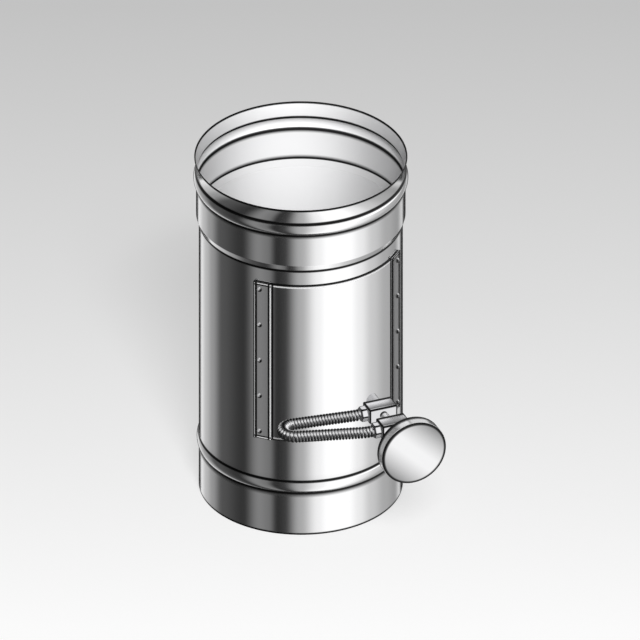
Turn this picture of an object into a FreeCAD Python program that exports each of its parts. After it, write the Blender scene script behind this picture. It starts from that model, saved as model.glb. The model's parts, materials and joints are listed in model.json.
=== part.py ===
# Single-wall stove pipe damper: a beaded flue section with a butterfly blade inside, turned
# from outside by a loop handle wound with wire, on two clamp blocks and a round knob.
#
# Frame: the origin is on the pipe's axis at its bottom rim, +Z runs up the pipe, and the side
# with the cover plate and the handle is the front, which is -Y. Lengths are millimetres.
import FreeCAD, Part
import math
import os
import re

import Sketcher
from FreeCAD import Placement, Rotation, Vector

OUT_FOLDER = "parts"

# The driving dimensions: name, value in millimetres, degrees or a count, and what it is.
DIMENSIONS = [
    ("pipe_radius", 75.0, "outside radius of the plain tube and the spigot"),
    ("wall", 0.8, "sheet thickness of the pipe"),
    ("spigot_length", 36.3, "plain male end, up to the lower bead"),
    ("bead_width", 9.4, "height of each rolled bead"),
    ("lower_bead_rise", 1.5, "how far the lower bead stands out"),
    ("body_length", 180.7, "plain tube between the lower bead and the joggle"),
    ("joggle_length", 5.1, "slope from the tube out to the socket"),
    ("socket_growth", 2.0, "how much larger in radius the socket is"),
    ("collar_length", 26.3, "plain part of the socket, under its bead"),
    ("upper_bead_rise", 2.0, "how far the socket's bead stands out"),
    ("waist_length", 1.2, "slope above the socket's bead"),
    ("waist_drop", 0.4, "how far the waist pulls in"),
    ("rim_length", 11.6, "height of the flared rim"),
    ("rim_flare", 1.6, "how far the rim stands out from the socket"),
    ("rim_curve", 35.0, "radius of the rim's flare"),
    ("sheet_gap", 0.05, "assembly gap between curved sheets, and at rivets"),
    ("plate_foot_margin", 34.5, "lower bead up to the cover plate's lower edge"),
    ("plate_head_margin", 12.4, "cover plate's upper edge up to the joggle"),
    ("plate_thickness", 0.8, "sheet thickness of the cover plate"),
    ("strip_outer_angle", 49.4, "outer edge of a strip, degrees from the front"),
    ("strip_inner_angle", 39.0, "inner edge of a strip, degrees from the front"),
    ("strip_thickness", 0.8, "sheet thickness of a strip"),
    ("hem_angle", 1.6, "width of a strip's folded edge, degrees"),
    ("hem_rise", 0.5, "how far a strip's folded edge stands out"),
    ("rivet_angle", 45.6, "rivet line of a strip, degrees from the front"),
    ("rivet_margin", 6.2, "end of a strip to its first and last rivet"),
    ("rivet_count", 5, "rivets in each strip"),
    ("rivet_shank", 1.2, "radius of a strip rivet's shank"),
    ("rivet_head", 1.95, "radius of a strip rivet's domed head"),
    ("rivet_dome", 1.2, "height of a strip rivet's head"),
    ("rivet_tail", 1.7, "radius of the upset end inside the pipe"),
    ("rivet_tail_height", 0.7, "thickness of the upset end"),
    ("spindle_offset", 27.0, "spindle to the right of the pipe's axis"),
    ("spindle_lift", 24.3, "spindle above the cover plate's lower edge"),
    ("spindle_radius", 3.0, "radius of the spindle"),
    ("spindle_chamfer", 0.5, "chamfer on the spindle's ends"),
    ("running_gap", 0.05, "radial and end clearance of what turns"),
    ("boss_radius", 4.9, "radius of a bearing bush outside the pipe"),
    ("boss_shank", 4.0, "radius of a bearing bush in the wall"),
    ("boss_stand", 6.55, "outer face of a bush in front of the sheet at the spindle"),
    ("boss_inset", 1.6, "inner face of a bush inside the wall at the spindle"),
    ("boss_chamfer", 0.4, "chamfer round the bush's outer face"),
    ("washer_radius", 5.2, "radius of the washers"),
    ("washer_thickness", 1.0, "thickness of the washers"),
    ("spring_height", 1.2, "height of the disc spring as fitted"),
    ("spring_thickness", 0.6, "sheet thickness of the disc spring"),
    ("blade_gap", 2.2, "closed blade to the pipe's wall"),
    ("blade_side_gap", 3.1, "blade's straight edges to the wall at the spindle"),
    ("blade_thickness", 1.5, "sheet thickness of the blade"),
    ("flat_depth", 1.0, "depth of the flat milled on the spindle"),
    ("strap_inset", 26.0, "middle of each strap to the blade's straight edge"),
    ("strap_width", 14.0, "width of a strap along the spindle"),
    ("strap_half_span", 12.5, "half the length of a strap across the spindle"),
    ("strap_thickness", 1.5, "sheet thickness of a strap"),
    ("strap_rivet_reach", 8.6, "strap rivets to each side of the spindle"),
    ("strap_rivet_shank", 1.5, "radius of a strap rivet's shank"),
    ("strap_rivet_head", 2.6, "radius of a strap rivet's heads"),
    ("strap_rivet_dome", 1.3, "height of a strap rivet's heads"),
    ("block_half_width", 11.0, "half the width of a clamp block"),
    ("block_half_height", 5.9, "half the height of a clamp block"),
    ("block_depth", 14.0, "depth of a clamp block along the spindle"),
    ("block_pitch", 25.3, "spacing of the two clamp blocks"),
    ("block_chamfer", 1.0, "chamfer on a clamp block's long edges"),
    ("block_fit", 0.02, "clearance of the spindle and screws in a block"),
    ("grub_radius", 2.5, "radius of a grub screw"),
    ("grub_sunk", 0.6, "grub screw below the block's end face"),
    ("grub_socket_across", 2.2, "hexagon socket of a grub screw, across its flats"),
    ("grub_socket_depth", 2.5, "depth of a grub screw's socket"),
    ("rod_radius", 2.5, "radius of the loop handle's rod"),
    ("rod_grip", 6.4, "how deep the rod goes into a block"),
    ("rod_straight", 19.0, "where the rod's straight ends stop, from the spindle"),
    ("rod_kink", 20.0, "radius of the slight bend at each straight end"),
    ("loop_reach", 68.6, "centre of the loop's bend, left of the spindle"),
    ("loop_clearance", 1.3, "winding to the cover plate, as the loop swings past it"),
    ("loop_radius", 9.05, "radius of the loop's bend at the rod's middle"),
    ("nut_across", 10.4, "width across the flats of the rod's nuts"),
    ("nut_thickness", 5.0, "thickness of the rod's nuts"),
    ("coil_radius", 4.5, "outside radius of the wire winding"),
    ("coil_groove", 0.55, "depth of the groove between two turns"),
    ("coil_pitch", 2.3, "spacing of the turns"),
    ("coil_gap", 0.1, "clearance between the winding and the rod"),
    ("coil_sides", 12, "flat sides of the winding's simplified section"),
    ("neck_length", 19.9, "length of the spacer behind the knob"),
    ("neck_radius", 4.2, "radius of the spacer's waist"),
    ("neck_end_radius", 5.4, "radius of the spacer's ends"),
    ("neck_end_length", 4.0, "length of each of the spacer's ends"),
    ("knob_nut_across", 10.0, "width across the flats of the knob's nut"),
    ("knob_nut_thickness", 4.0, "thickness of the knob's nut"),
    ("knob_radius", 25.5, "radius of the knob"),
    ("knob_thickness", 10.0, "height of the knob's rim"),
    ("knob_crown", 1.6, "how far the knob's face is domed"),
    ("knob_edge", 0.8, "rounding at the knob's face"),
    ("knob_bore_depth", 6.5, "depth of the knob's threaded bore"),
    ("rear_tail", 3.6, "spindle behind the retaining pin's middle"),
    ("pin_radius", 0.8, "radius of the retaining pin"),
    ("pin_wall", 0.35, "wall of the rolled retaining pin"),
    ("pin_half_length", 6.5, "half the length of the retaining pin"),
]
NAMES = {name for name, value, meaning in DIMENSIONS}

# Heights up the pipe.
BEAD_TOP = "spigot_length + bead_width"
JOGGLE_FOOT = f"{BEAD_TOP} + body_length"
COLLAR_FOOT = f"{JOGGLE_FOOT} + joggle_length"
COLLAR_TOP = f"{COLLAR_FOOT} + collar_length"
SOCKET_BEAD_TOP = f"{COLLAR_TOP} + bead_width"
WAIST = f"{SOCKET_BEAD_TOP} + waist_length"
RIM = f"{WAIST} + rim_length"

# The cover plate, its rivets and the spindle, on the plain tube.
PLATE_BOTTOM = f"({BEAD_TOP} + plate_foot_margin)"
PLATE_HEIGHT = "(body_length - plate_foot_margin - plate_head_margin)"
FIRST_RIVET = f"({PLATE_BOTTOM} + rivet_margin)"
RIVET_SPAN = f"({PLATE_HEIGHT} - 2 * rivet_margin)"
SPINDLE_HEIGHT = f"({PLATE_BOTTOM} + spindle_lift)"

# Radii from the pipe's axis, from the bore outwards through the riveted layers.
BORE = "pipe_radius - wall"
SOCKET = "pipe_radius + socket_growth"
PLATE_BACK = "pipe_radius + sheet_gap"
PLATE_FACE = f"{PLATE_BACK} + plate_thickness"
STRIP_BACK = f"{PLATE_FACE} + sheet_gap"
STRIP_FACE = f"{STRIP_BACK} + strip_thickness"
HEM_FACE = f"{STRIP_FACE} + hem_rise"

# Reaches along the spindle from the pipe's axis, front positive. The spindle is off centre,
# so it meets each round sheet nearer than that sheet's radius.
BOSS_REACH = f"(sqrt(({PLATE_FACE})^2 - spindle_offset^2) + boss_stand)"
BOSS_INNER = f"(sqrt(({BORE})^2 - spindle_offset^2) - boss_inset)"
BLADE_FLAT = f"(sqrt(({BORE})^2 - spindle_offset^2) - blade_side_gap)"
STRAP_REACH = f"({BLADE_FLAT} - strap_inset)"
LOOP_FRONT = f"{PLATE_FACE} + loop_clearance + coil_radius + loop_radius"
THRUST_WASHER = f"{BOSS_REACH} + running_gap"
SPRING = f"{THRUST_WASHER} + washer_thickness"
BLOCK_WASHER = f"{SPRING} + spring_height"
INNER_BLOCK = f"{BLOCK_WASHER} + washer_thickness"
OUTER_BLOCK = f"{INNER_BLOCK} + block_pitch"
INNER_LEG = f"{INNER_BLOCK} + block_depth / 2"
OUTER_LEG = f"{OUTER_BLOCK} + block_depth / 2"
NECK = f"{OUTER_BLOCK} + block_depth"
KNOB_NUT = f"{NECK} + neck_length"
KNOB_BACK = f"{KNOB_NUT} + knob_nut_thickness"
KNOB_FACE = f"{KNOB_BACK} + knob_thickness"
SPINDLE_FRONT = f"{KNOB_BACK} + knob_bore_depth - spindle_chamfer"
REAR_WASHER = f"-({THRUST_WASHER} + washer_thickness)"
PIN_REACH = f"-({THRUST_WASHER} + washer_thickness + pin_radius + sheet_gap)"
SPINDLE_REAR = f"{PIN_REACH} - rear_tail"

# Heights about the spindle, up positive: the blade hangs under the flat, the straps clamp it.
FLAT = "spindle_radius - flat_depth"
BLADE_TOP = f"-({FLAT})"
BLADE_BOTTOM = f"{BLADE_TOP} - blade_thickness"
STRAP_TOP = f"{BLADE_TOP} + strap_thickness"
SPINDLE_BORE = "spindle_radius + running_gap"
BLADE_RADIUS = f"{BORE} - blade_gap"


def bind(text):
    """Turns the names of dimensions in an expression into references to the sheet."""
    return re.sub(r"[a-z_]+", lambda word: f"Dims.{word[0]}" if word[0] in NAMES else word[0], text)


def worth(holder, text):
    """The number that an expression of dimensions gives now."""
    result = holder.evalExpression(bind(text))
    return float(getattr(result, "Value", result))


def polar(radius, angle):
    """The two coordinates of a point at a radius and an angle from the front, seen from above."""
    return (f"({radius}) * sin(({angle}) * 1 deg)", f"-({radius}) * cos(({angle}) * 1 deg)")


def dome(radius, rise):
    """The radius of the sphere or arc whose cap has this radius and rise."""
    return f"(({radius})^2 + ({rise})^2) / (2 * ({rise}))"


def make_sheet(doc):
    sheet = doc.addObject("Spreadsheet::Sheet", "Dims")
    for row, (name, value, meaning) in enumerate(DIMENSIONS, start=1):
        sheet.set(f"A{row}", meaning)
        sheet.set(f"B{row}", str(value))
        sheet.setAlias(f"B{row}", name)
    doc.recompute()


def make_body(doc, name, on_spindle=True):
    """A new sub-part. On the spindle, its local +Z is the reach to the front and +Y is up."""
    body = doc.addObject("PartDesign::Body", name)
    body.Label = name
    if on_spindle:
        body.Placement = Placement(Vector(0, 0, 0), Rotation(Vector(1, 0, 0), 90))
        body.setExpression("Placement.Base.x", bind("spindle_offset"))
        body.setExpression("Placement.Base.z", bind(SPINDLE_HEIGHT))
    return body


def origin_item(body, role):
    return next(item for item in body.Origin.OriginFeatures if item.Role == role)


def make_sketch(body, plane, shift=("0", "0", "0"), swing=None):
    """A sketch on one of the body's origin planes, shifted, and swung about its own upright."""
    sketch = body.newObject("Sketcher::SketchObject", f"{body.Label}_sketch")
    sketch.AttachmentSupport = [(origin_item(body, plane), "")]
    sketch.MapMode = "FlatFace"
    if swing:
        angle = worth(sketch, swing)
        sketch.AttachmentOffset = Placement(Vector(0, 0, 0), Rotation(Vector(0, 1, 0), angle))
        sketch.setExpression("AttachmentOffset.Rotation.Angle", bind(f"({swing}) * 1 deg"))
    for axis, distance in zip("xyz", shift):
        if distance != "0":
            sketch.setExpression(f"AttachmentOffset.Base.{axis}", bind(distance))
    return sketch


def pin_down(sketch, kind, places, text):
    """Adds a dimensioned constraint whose value follows the sheet."""
    number = sketch.addConstraint(Sketcher.Constraint(kind, *places, worth(sketch, text)))
    name = f"{kind}_{number}"
    sketch.renameConstraint(number, name)
    sketch.setExpression(f"Constraints.{name}", bind(text))


def arc_between(start, end, radius, turn):
    """An arc from start to end that turns left or right, and the end numbers it is met at."""
    chord = end - start
    side = 1.0 if turn.startswith("left") else -1.0
    if turn.endswith("long"):
        inset = -math.sqrt(max(radius**2 - (chord.Length / 2) ** 2, 0.0))
    else:
        inset = math.sqrt(max(radius**2 - (chord.Length / 2) ** 2, 0.0))
    normal = Vector(-chord.y, chord.x, 0).normalize() * side
    centre = start + chord * 0.5 + normal * inset
    first, last = (start, end) if side > 0 else (end, start)
    angles = [math.atan2(p.y - centre.y, p.x - centre.x) for p in (first, last)]
    circle = Part.Circle(centre, Vector(0, 0, 1), radius)
    return Part.ArcOfCircle(circle, *angles), (1, 2) if side > 0 else (2, 1)


def draw_outline(sketch, corners):
    """Draws a closed outline. A corner is (x, y), or (x, y, radius, turn) where an arc leaves it."""
    base = sketch.GeometryCount
    count = len(corners)
    points = [Vector(worth(sketch, c[0]), worth(sketch, c[1]), 0) for c in corners]
    ends = []
    for index, corner in enumerate(corners):
        start, end = points[index], points[(index + 1) % count]
        if len(corner) == 2:
            sketch.addGeometry(Part.LineSegment(start, end))
            ends.append((1, 2))
        else:
            arc, met = arc_between(start, end, worth(sketch, corner[2]), corner[3])
            sketch.addGeometry(arc)
            ends.append(met)
    for index, corner in enumerate(corners):
        following = (index + 1) % count
        places = (base + index, ends[index][1], base + following, ends[following][0])
        sketch.addConstraint(Sketcher.Constraint("Coincident", *places))
        pin_down(sketch, "DistanceX", (base + index, ends[index][0]), corner[0])
        pin_down(sketch, "DistanceY", (base + index, ends[index][0]), corner[1])
        if len(corner) > 2:
            pin_down(sketch, "Radius", (base + index,), corner[2])


def draw_circle(sketch, x, y, radius):
    centre = Vector(worth(sketch, x), worth(sketch, y), 0)
    circle = Part.Circle(centre, Vector(0, 0, 1), worth(sketch, radius))
    number = sketch.addGeometry(circle)
    pin_down(sketch, "DistanceX", (number, 3), x)
    pin_down(sketch, "DistanceY", (number, 3), y)
    pin_down(sketch, "Radius", (number,), radius)


def draw_hexagon(sketch, x, y, across):
    """A hexagon of the given width across its flats, with a corner at the top."""
    corner = f"({across}) / sqrt(3)"
    turns = range(0, 360, 60)
    draw_outline(
        sketch,
        [(f"{x} + {corner} * sin({t} deg)", f"{y} + {corner} * cos({t} deg)") for t in turns],
    )


def revolve(body, sketch, axis="V_Axis"):
    feature = body.newObject("PartDesign::Revolution", f"{body.Label}_turned")
    feature.Profile = sketch
    feature.ReferenceAxis = (sketch, [axis])
    feature.Angle = 360
    body.Document.recompute()
    return feature


def pad(body, sketch, length, symmetric=False):
    feature = body.newObject("PartDesign::Pad", f"{body.Label}_pad")
    feature.Profile = sketch
    feature.SideType = "Symmetric" if symmetric else "One side"
    feature.setExpression("Length", bind(length))
    body.Document.recompute()
    return feature


def pocket(body, sketch, length=None, symmetric=False, along_normal=False):
    """Cuts the sketch through all, or to a depth, and makes sure that metal was removed."""
    before = body.Shape.Volume
    feature = body.newObject("PartDesign::Pocket", f"{body.Label}_pocket")
    feature.Profile = sketch
    feature.SideType = "Symmetric" if symmetric else "One side"
    feature.Reversed = along_normal
    if length is None:
        feature.Type = "ThroughAll"
    else:
        feature.setExpression("Length", bind(length))
    body.Document.recompute()
    if not body.Shape.Volume < before:
        raise RuntimeError(f"{feature.Name} cut nothing")
    return feature


def repeat(body, feature, axis, length, count):
    """Repeats a feature in a row along one of the body's axes."""
    pattern = body.newObject("PartDesign::LinearPattern", f"{body.Label}_row")
    pattern.Originals = [feature]
    pattern.Direction = (origin_item(body, axis), [""])
    pattern.setExpression("Length", bind(length))
    pattern.setExpression("Occurrences", bind(count))
    body.Tip = pattern
    body.Document.recompute()
    return pattern


# The pipe and what is riveted to it


def drill_rivet_row(body, side):
    """The row of radial holes for one strip's rivets; side is -1 on the left and 1 on the right."""
    place = ("0", FIRST_RIVET, "0")
    sketch = make_sketch(body, "XZ_Plane", place, f"{side} * rivet_angle")
    draw_circle(sketch, "0", "0", "rivet_shank + sheet_gap")
    hole = pocket(body, sketch, along_normal=True)
    repeat(body, hole, "Z_Axis", RIVET_SPAN, "rivet_count")


def make_pipe_body(doc):
    """The sheet's whole section turned round the axis: spigot, two beads, joggle and socket."""
    body = make_body(doc, "pipe_body", on_spindle=False)
    lower_arc = dome("bead_width / 2", "lower_bead_rise")
    upper_arc = dome("bead_width / 2", "upper_bead_rise")
    outside = [
        ("pipe_radius", "0"),
        ("pipe_radius", "spigot_length", lower_arc, "left"),
        ("pipe_radius", BEAD_TOP),
        ("pipe_radius", JOGGLE_FOOT),
        (SOCKET, COLLAR_FOOT),
        (SOCKET, COLLAR_TOP, upper_arc, "left"),
        (SOCKET, SOCKET_BEAD_TOP),
        (f"{SOCKET} - waist_drop", WAIST, "rim_curve", "right"),
        (f"{SOCKET} + rim_flare", RIM),
    ]
    inside = [
        (f"{SOCKET} + rim_flare - wall", RIM, "rim_curve", "left"),
        (f"{SOCKET} - waist_drop - wall", WAIST),
        (f"{SOCKET} - wall", SOCKET_BEAD_TOP, upper_arc, "right"),
        (f"{SOCKET} - wall", COLLAR_TOP),
        (f"{SOCKET} - wall", COLLAR_FOOT),
        (BORE, JOGGLE_FOOT),
        (BORE, BEAD_TOP, lower_arc, "right"),
        (BORE, "spigot_length"),
        (BORE, "0"),
    ]
    sketch = make_sketch(body, "XZ_Plane")
    draw_outline(sketch, outside + inside)
    revolve(body, sketch)
    bearing_holes = make_sketch(body, "XZ_Plane")
    draw_circle(bearing_holes, "spindle_offset", SPINDLE_HEIGHT, "boss_shank + sheet_gap")
    pocket(body, bearing_holes, symmetric=True)
    for side in (-1, 1):
        drill_rivet_row(body, side)
    return body


def make_cover_plate(doc):
    """A curved sheet on the front of the pipe, with holes for the bush and the rivets."""
    body = make_body(doc, "cover_plate", on_spindle=False)
    sketch = make_sketch(body, "XY_Plane", ("0", "0", PLATE_BOTTOM))
    draw_outline(
        sketch,
        [
            (*polar(PLATE_FACE, "-strip_outer_angle"), PLATE_FACE, "left"),
            polar(PLATE_FACE, "strip_outer_angle"),
            (*polar(PLATE_BACK, "strip_outer_angle"), PLATE_BACK, "right"),
            polar(PLATE_BACK, "-strip_outer_angle"),
        ],
    )
    pad(body, sketch, PLATE_HEIGHT)
    bearing_hole = make_sketch(body, "XZ_Plane")
    draw_circle(bearing_hole, "spindle_offset", SPINDLE_HEIGHT, "boss_shank + sheet_gap")
    pocket(body, bearing_hole, along_normal=True)
    for side in (-1, 1):
        drill_rivet_row(body, side)
    return body


def make_strip(doc, name, side):
    """A curved flat bar over one edge of the plate, with a folded hem down both of its edges."""
    body = make_body(doc, name, on_spindle=False)
    go, come_back = ("left", "right") if side > 0 else ("right", "left")
    inner, outer = f"{side} * strip_inner_angle", f"{side} * strip_outer_angle"
    inner_hem = f"{side} * (strip_inner_angle + hem_angle)"
    outer_hem = f"{side} * (strip_outer_angle - hem_angle)"
    sketch = make_sketch(body, "XY_Plane", ("0", "0", PLATE_BOTTOM))
    draw_outline(
        sketch,
        [
            (*polar(STRIP_BACK, inner), STRIP_BACK, go),
            polar(STRIP_BACK, outer),
            (*polar(HEM_FACE, outer), HEM_FACE, come_back),
            polar(HEM_FACE, outer_hem),
            (*polar(STRIP_FACE, outer_hem), STRIP_FACE, come_back),
            polar(STRIP_FACE, inner_hem),
            (*polar(HEM_FACE, inner_hem), HEM_FACE, come_back),
            polar(HEM_FACE, inner),
        ],
    )
    pad(body, sketch, PLATE_HEIGHT)
    drill_rivet_row(body, side)
    return body


def make_strip_rivets(doc, name, side):
    """A row of rivets: domed head on the strip, shank through all layers, upset end inside."""
    body = make_body(doc, name, on_spindle=False)
    place = ("0", FIRST_RIVET, "0")
    sketch = make_sketch(body, "XZ_Plane", place, f"{side} * rivet_angle - 90")
    tail_seat = f"{BORE} - sheet_gap"
    tail_end = f"{tail_seat} - rivet_tail_height"
    draw_outline(
        sketch,
        [
            (tail_end, "0"),
            (STRIP_FACE + " + rivet_dome", "0", dome("rivet_head", "rivet_dome"), "left"),
            (STRIP_FACE, "rivet_head"),
            (STRIP_FACE, "rivet_shank"),
            (tail_seat, "rivet_shank"),
            (tail_seat, "rivet_tail"),
            (tail_end, "rivet_tail"),
        ],
    )
    rivet = revolve(body, sketch, "H_Axis")
    repeat(body, rivet, "Z_Axis", RIVET_SPAN, "rivet_count")
    return body


def make_bush(doc, name, side, seat):
    """A turned bearing bush whose foot is hollowed to sit on the round pipe."""
    body = make_body(doc, name)
    foot, face = f"{side} * ({BOSS_INNER} - boss_radius)", f"{side} * {BOSS_REACH}"
    bevel = f"{side} * ({BOSS_REACH} - boss_chamfer)"
    boss = make_sketch(body, "XZ_Plane")
    draw_outline(
        boss,
        [
            (SPINDLE_BORE, foot),
            ("boss_radius", foot),
            ("boss_radius", bevel),
            ("boss_radius - boss_chamfer", face),
            (SPINDLE_BORE, face),
        ],
    )
    revolve(body, boss)
    saddle = make_sketch(body, "XZ_Plane")
    draw_circle(saddle, "-spindle_offset", "0", f"{seat} + sheet_gap")
    pocket(body, saddle, symmetric=True)
    shank = make_sketch(body, "XZ_Plane")
    draw_outline(
        shank,
        [
            (SPINDLE_BORE, f"{side} * {BOSS_INNER}"),
            ("boss_shank", f"{side} * {BOSS_INNER}"),
            ("boss_shank", bevel),
            (SPINDLE_BORE, bevel),
        ],
    )
    revolve(body, shank)
    return body


# The spindle and the blade


def make_spindle(doc):
    """A round bar with a milled flat for the blade and a cross hole for the retaining pin."""
    body = make_body(doc, "spindle")
    bar = make_sketch(body, "XZ_Plane")
    draw_outline(
        bar,
        [
            ("0", SPINDLE_REAR),
            ("spindle_radius - spindle_chamfer", SPINDLE_REAR),
            ("spindle_radius", f"{SPINDLE_REAR} + spindle_chamfer"),
            ("spindle_radius", f"{SPINDLE_FRONT} - spindle_chamfer"),
            ("spindle_radius - spindle_chamfer", SPINDLE_FRONT),
            ("0", SPINDLE_FRONT),
        ],
    )
    revolve(body, bar)
    flat = make_sketch(body, "XZ_Plane", ("0", "0", FLAT))
    flat_end = f"({BLADE_FLAT} + {BOSS_INNER}) / 2"
    draw_outline(
        flat,
        [
            ("-2 * spindle_radius", f"-{flat_end}"),
            ("2 * spindle_radius", f"-{flat_end}"),
            ("2 * spindle_radius", flat_end),
            ("-2 * spindle_radius", flat_end),
        ],
    )
    pocket(body, flat, along_normal=True)
    cross_hole = make_sketch(body, "YZ_Plane")
    draw_circle(cross_hole, "0", PIN_REACH, "pin_radius + block_fit")
    pocket(body, cross_hole, symmetric=True)
    return body


def make_damper_blade(doc):
    """A disc cut straight at front and rear, so that it clears the wall as it turns off centre."""
    body = make_body(doc, "damper_blade")
    half_flat = f"sqrt(({BLADE_RADIUS})^2 - {BLADE_FLAT}^2)"
    right, left = f"-spindle_offset + {half_flat}", f"-spindle_offset - {half_flat}"
    disc = make_sketch(body, "XZ_Plane", ("0", "0", FLAT))
    draw_outline(
        disc,
        [
            (right, f"-{BLADE_FLAT}", BLADE_RADIUS, "left"),
            (right, BLADE_FLAT),
            (left, BLADE_FLAT, BLADE_RADIUS, "left"),
            (left, f"-{BLADE_FLAT}"),
        ],
    )
    pad(body, disc, "blade_thickness")
    holes = make_sketch(body, "XZ_Plane")
    for side in (-1, 1):
        for end in (-1, 1):
            x, reach = f"{side} * strap_rivet_reach", f"{end} * {STRAP_REACH}"
            draw_circle(holes, x, reach, "strap_rivet_shank + sheet_gap")
    pocket(body, holes, symmetric=True)
    return body


def make_strap(doc, name, end):
    """A strip bent over the spindle, with a foot each side that is riveted to the blade."""
    body = make_body(doc, name)
    inner, outer = SPINDLE_BORE, f"({SPINDLE_BORE} + strap_thickness)"
    inner_x = f"sqrt(({inner})^2 - ({BLADE_TOP})^2)"
    outer_x = f"sqrt({outer}^2 - ({STRAP_TOP})^2)"
    omega = make_sketch(body, "XY_Plane", ("0", "0", f"{end} * {STRAP_REACH}"))
    draw_outline(
        omega,
        [
            ("-strap_half_span", BLADE_TOP),
            (f"-{inner_x}", BLADE_TOP, inner, "right long"),
            (inner_x, BLADE_TOP),
            ("strap_half_span", BLADE_TOP),
            ("strap_half_span", STRAP_TOP),
            (outer_x, STRAP_TOP, outer, "left long"),
            (f"-{outer_x}", STRAP_TOP),
            ("-strap_half_span", STRAP_TOP),
        ],
    )
    pad(body, omega, "strap_width", symmetric=True)
    holes = make_sketch(body, "XZ_Plane")
    for side in (-1, 1):
        x, reach = f"{side} * strap_rivet_reach", f"{end} * {STRAP_REACH}"
        draw_circle(holes, x, reach, "strap_rivet_shank + sheet_gap")
    pocket(body, holes, symmetric=True)
    return body


def make_strap_rivets(doc, name, end):
    """The two rivets of one strap, domed on the strap and upset under the blade."""
    body = make_body(doc, name)
    place = ("-strap_rivet_reach", "0", f"{end} * {STRAP_REACH}")
    section = make_sketch(body, "XY_Plane", place)
    arc = dome("strap_rivet_head", "strap_rivet_dome")
    draw_outline(
        section,
        [
            ("0", f"{BLADE_BOTTOM} - strap_rivet_dome", arc, "left"),
            ("strap_rivet_head", BLADE_BOTTOM),
            ("strap_rivet_shank", BLADE_BOTTOM),
            ("strap_rivet_shank", STRAP_TOP),
            ("strap_rivet_head", STRAP_TOP, arc, "left"),
            ("0", f"{STRAP_TOP} + strap_rivet_dome"),
        ],
    )
    rivet = revolve(body, section)
    repeat(body, rivet, "X_Axis", "2 * strap_rivet_reach", "2")
    return body


def make_ring(doc, name, start, thickness, outer="washer_radius"):
    """A flat washer on the spindle."""
    body = make_body(doc, name)
    sketch = make_sketch(body, "XY_Plane", ("0", "0", start))
    draw_circle(sketch, "0", "0", outer)
    draw_circle(sketch, "0", "0", SPINDLE_BORE)
    pad(body, sketch, thickness)
    return body


def make_disc_spring(doc):
    """A coned disc spring, which holds the blade by friction wherever it is set."""
    body = make_body(doc, "disc_spring")
    sketch = make_sketch(body, "XZ_Plane")
    draw_outline(
        sketch,
        [
            (SPINDLE_BORE, f"{BLOCK_WASHER} - spring_thickness"),
            ("washer_radius", SPRING),
            ("washer_radius", f"{SPRING} + spring_thickness"),
            (SPINDLE_BORE, BLOCK_WASHER),
        ],
    )
    revolve(body, sketch)
    return body


def make_retaining_pin(doc):
    """A rolled pin across the spindle, behind the rear washer."""
    body = make_body(doc, "retaining_pin")
    sketch = make_sketch(body, "YZ_Plane")
    draw_circle(sketch, "0", PIN_REACH, "pin_radius")
    draw_circle(sketch, "0", PIN_REACH, "pin_radius - pin_wall")
    pad(body, sketch, "2 * pin_half_length", symmetric=True)
    return body


# The handle


def make_block(doc, name, start, leg):
    """A bevelled clamp block on the spindle: the rod enters its left end, a grub screw its right."""
    body = make_body(doc, name)
    wide, high = "block_half_width", "block_half_height"
    section = make_sketch(body, "XY_Plane", ("0", "0", start))
    draw_outline(
        section,
        [
            (f"-{wide}", f"-{high} + block_chamfer"),
            (f"-{wide} + block_chamfer", f"-{high}"),
            (f"{wide} - block_chamfer", f"-{high}"),
            (wide, f"-{high} + block_chamfer"),
            (wide, f"{high} - block_chamfer"),
            (f"{wide} - block_chamfer", high),
            (f"-{wide} + block_chamfer", high),
            (f"-{wide}", f"{high} - block_chamfer"),
        ],
    )
    draw_circle(section, "0", "0", "spindle_radius + block_fit")
    pad(body, section, "block_depth")
    rod_hole = make_sketch(body, "YZ_Plane", ("0", "0", "-block_half_width + rod_grip"))
    draw_circle(rod_hole, "0", leg, "rod_radius + sheet_gap")
    pocket(body, rod_hole)
    screw_hole = make_sketch(body, "YZ_Plane")
    draw_circle(screw_hole, "0", leg, "grub_radius + block_fit")
    pocket(body, screw_hole, along_normal=True)
    return body


def make_grub_screw(doc, name, leg):
    """A grub screw with a hexagon socket, turned in until it meets the spindle."""
    body = make_body(doc, name)
    start = "spindle_radius + block_fit"
    end = "block_half_width - grub_sunk"
    shank = make_sketch(body, "YZ_Plane", ("0", "0", start))
    draw_circle(shank, "0", leg, "grub_radius")
    pad(body, shank, f"{end} - ({start})")
    socket = make_sketch(body, "YZ_Plane", ("0", "0", end))
    draw_hexagon(socket, "0", leg, "grub_socket_across")
    pocket(body, socket, "grub_socket_depth")
    return body


def make_rod_nut(doc, name, leg):
    """The hexagon nut that locks one end of the rod against its block."""
    body = make_body(doc, name)
    sketch = make_sketch(body, "YZ_Plane", ("0", "0", "-block_half_width - nut_thickness"))
    draw_hexagon(sketch, "0", leg, "nut_across")
    draw_circle(sketch, "0", leg, "rod_radius + sheet_gap")
    pad(body, sketch, "nut_thickness")
    return body


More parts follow.
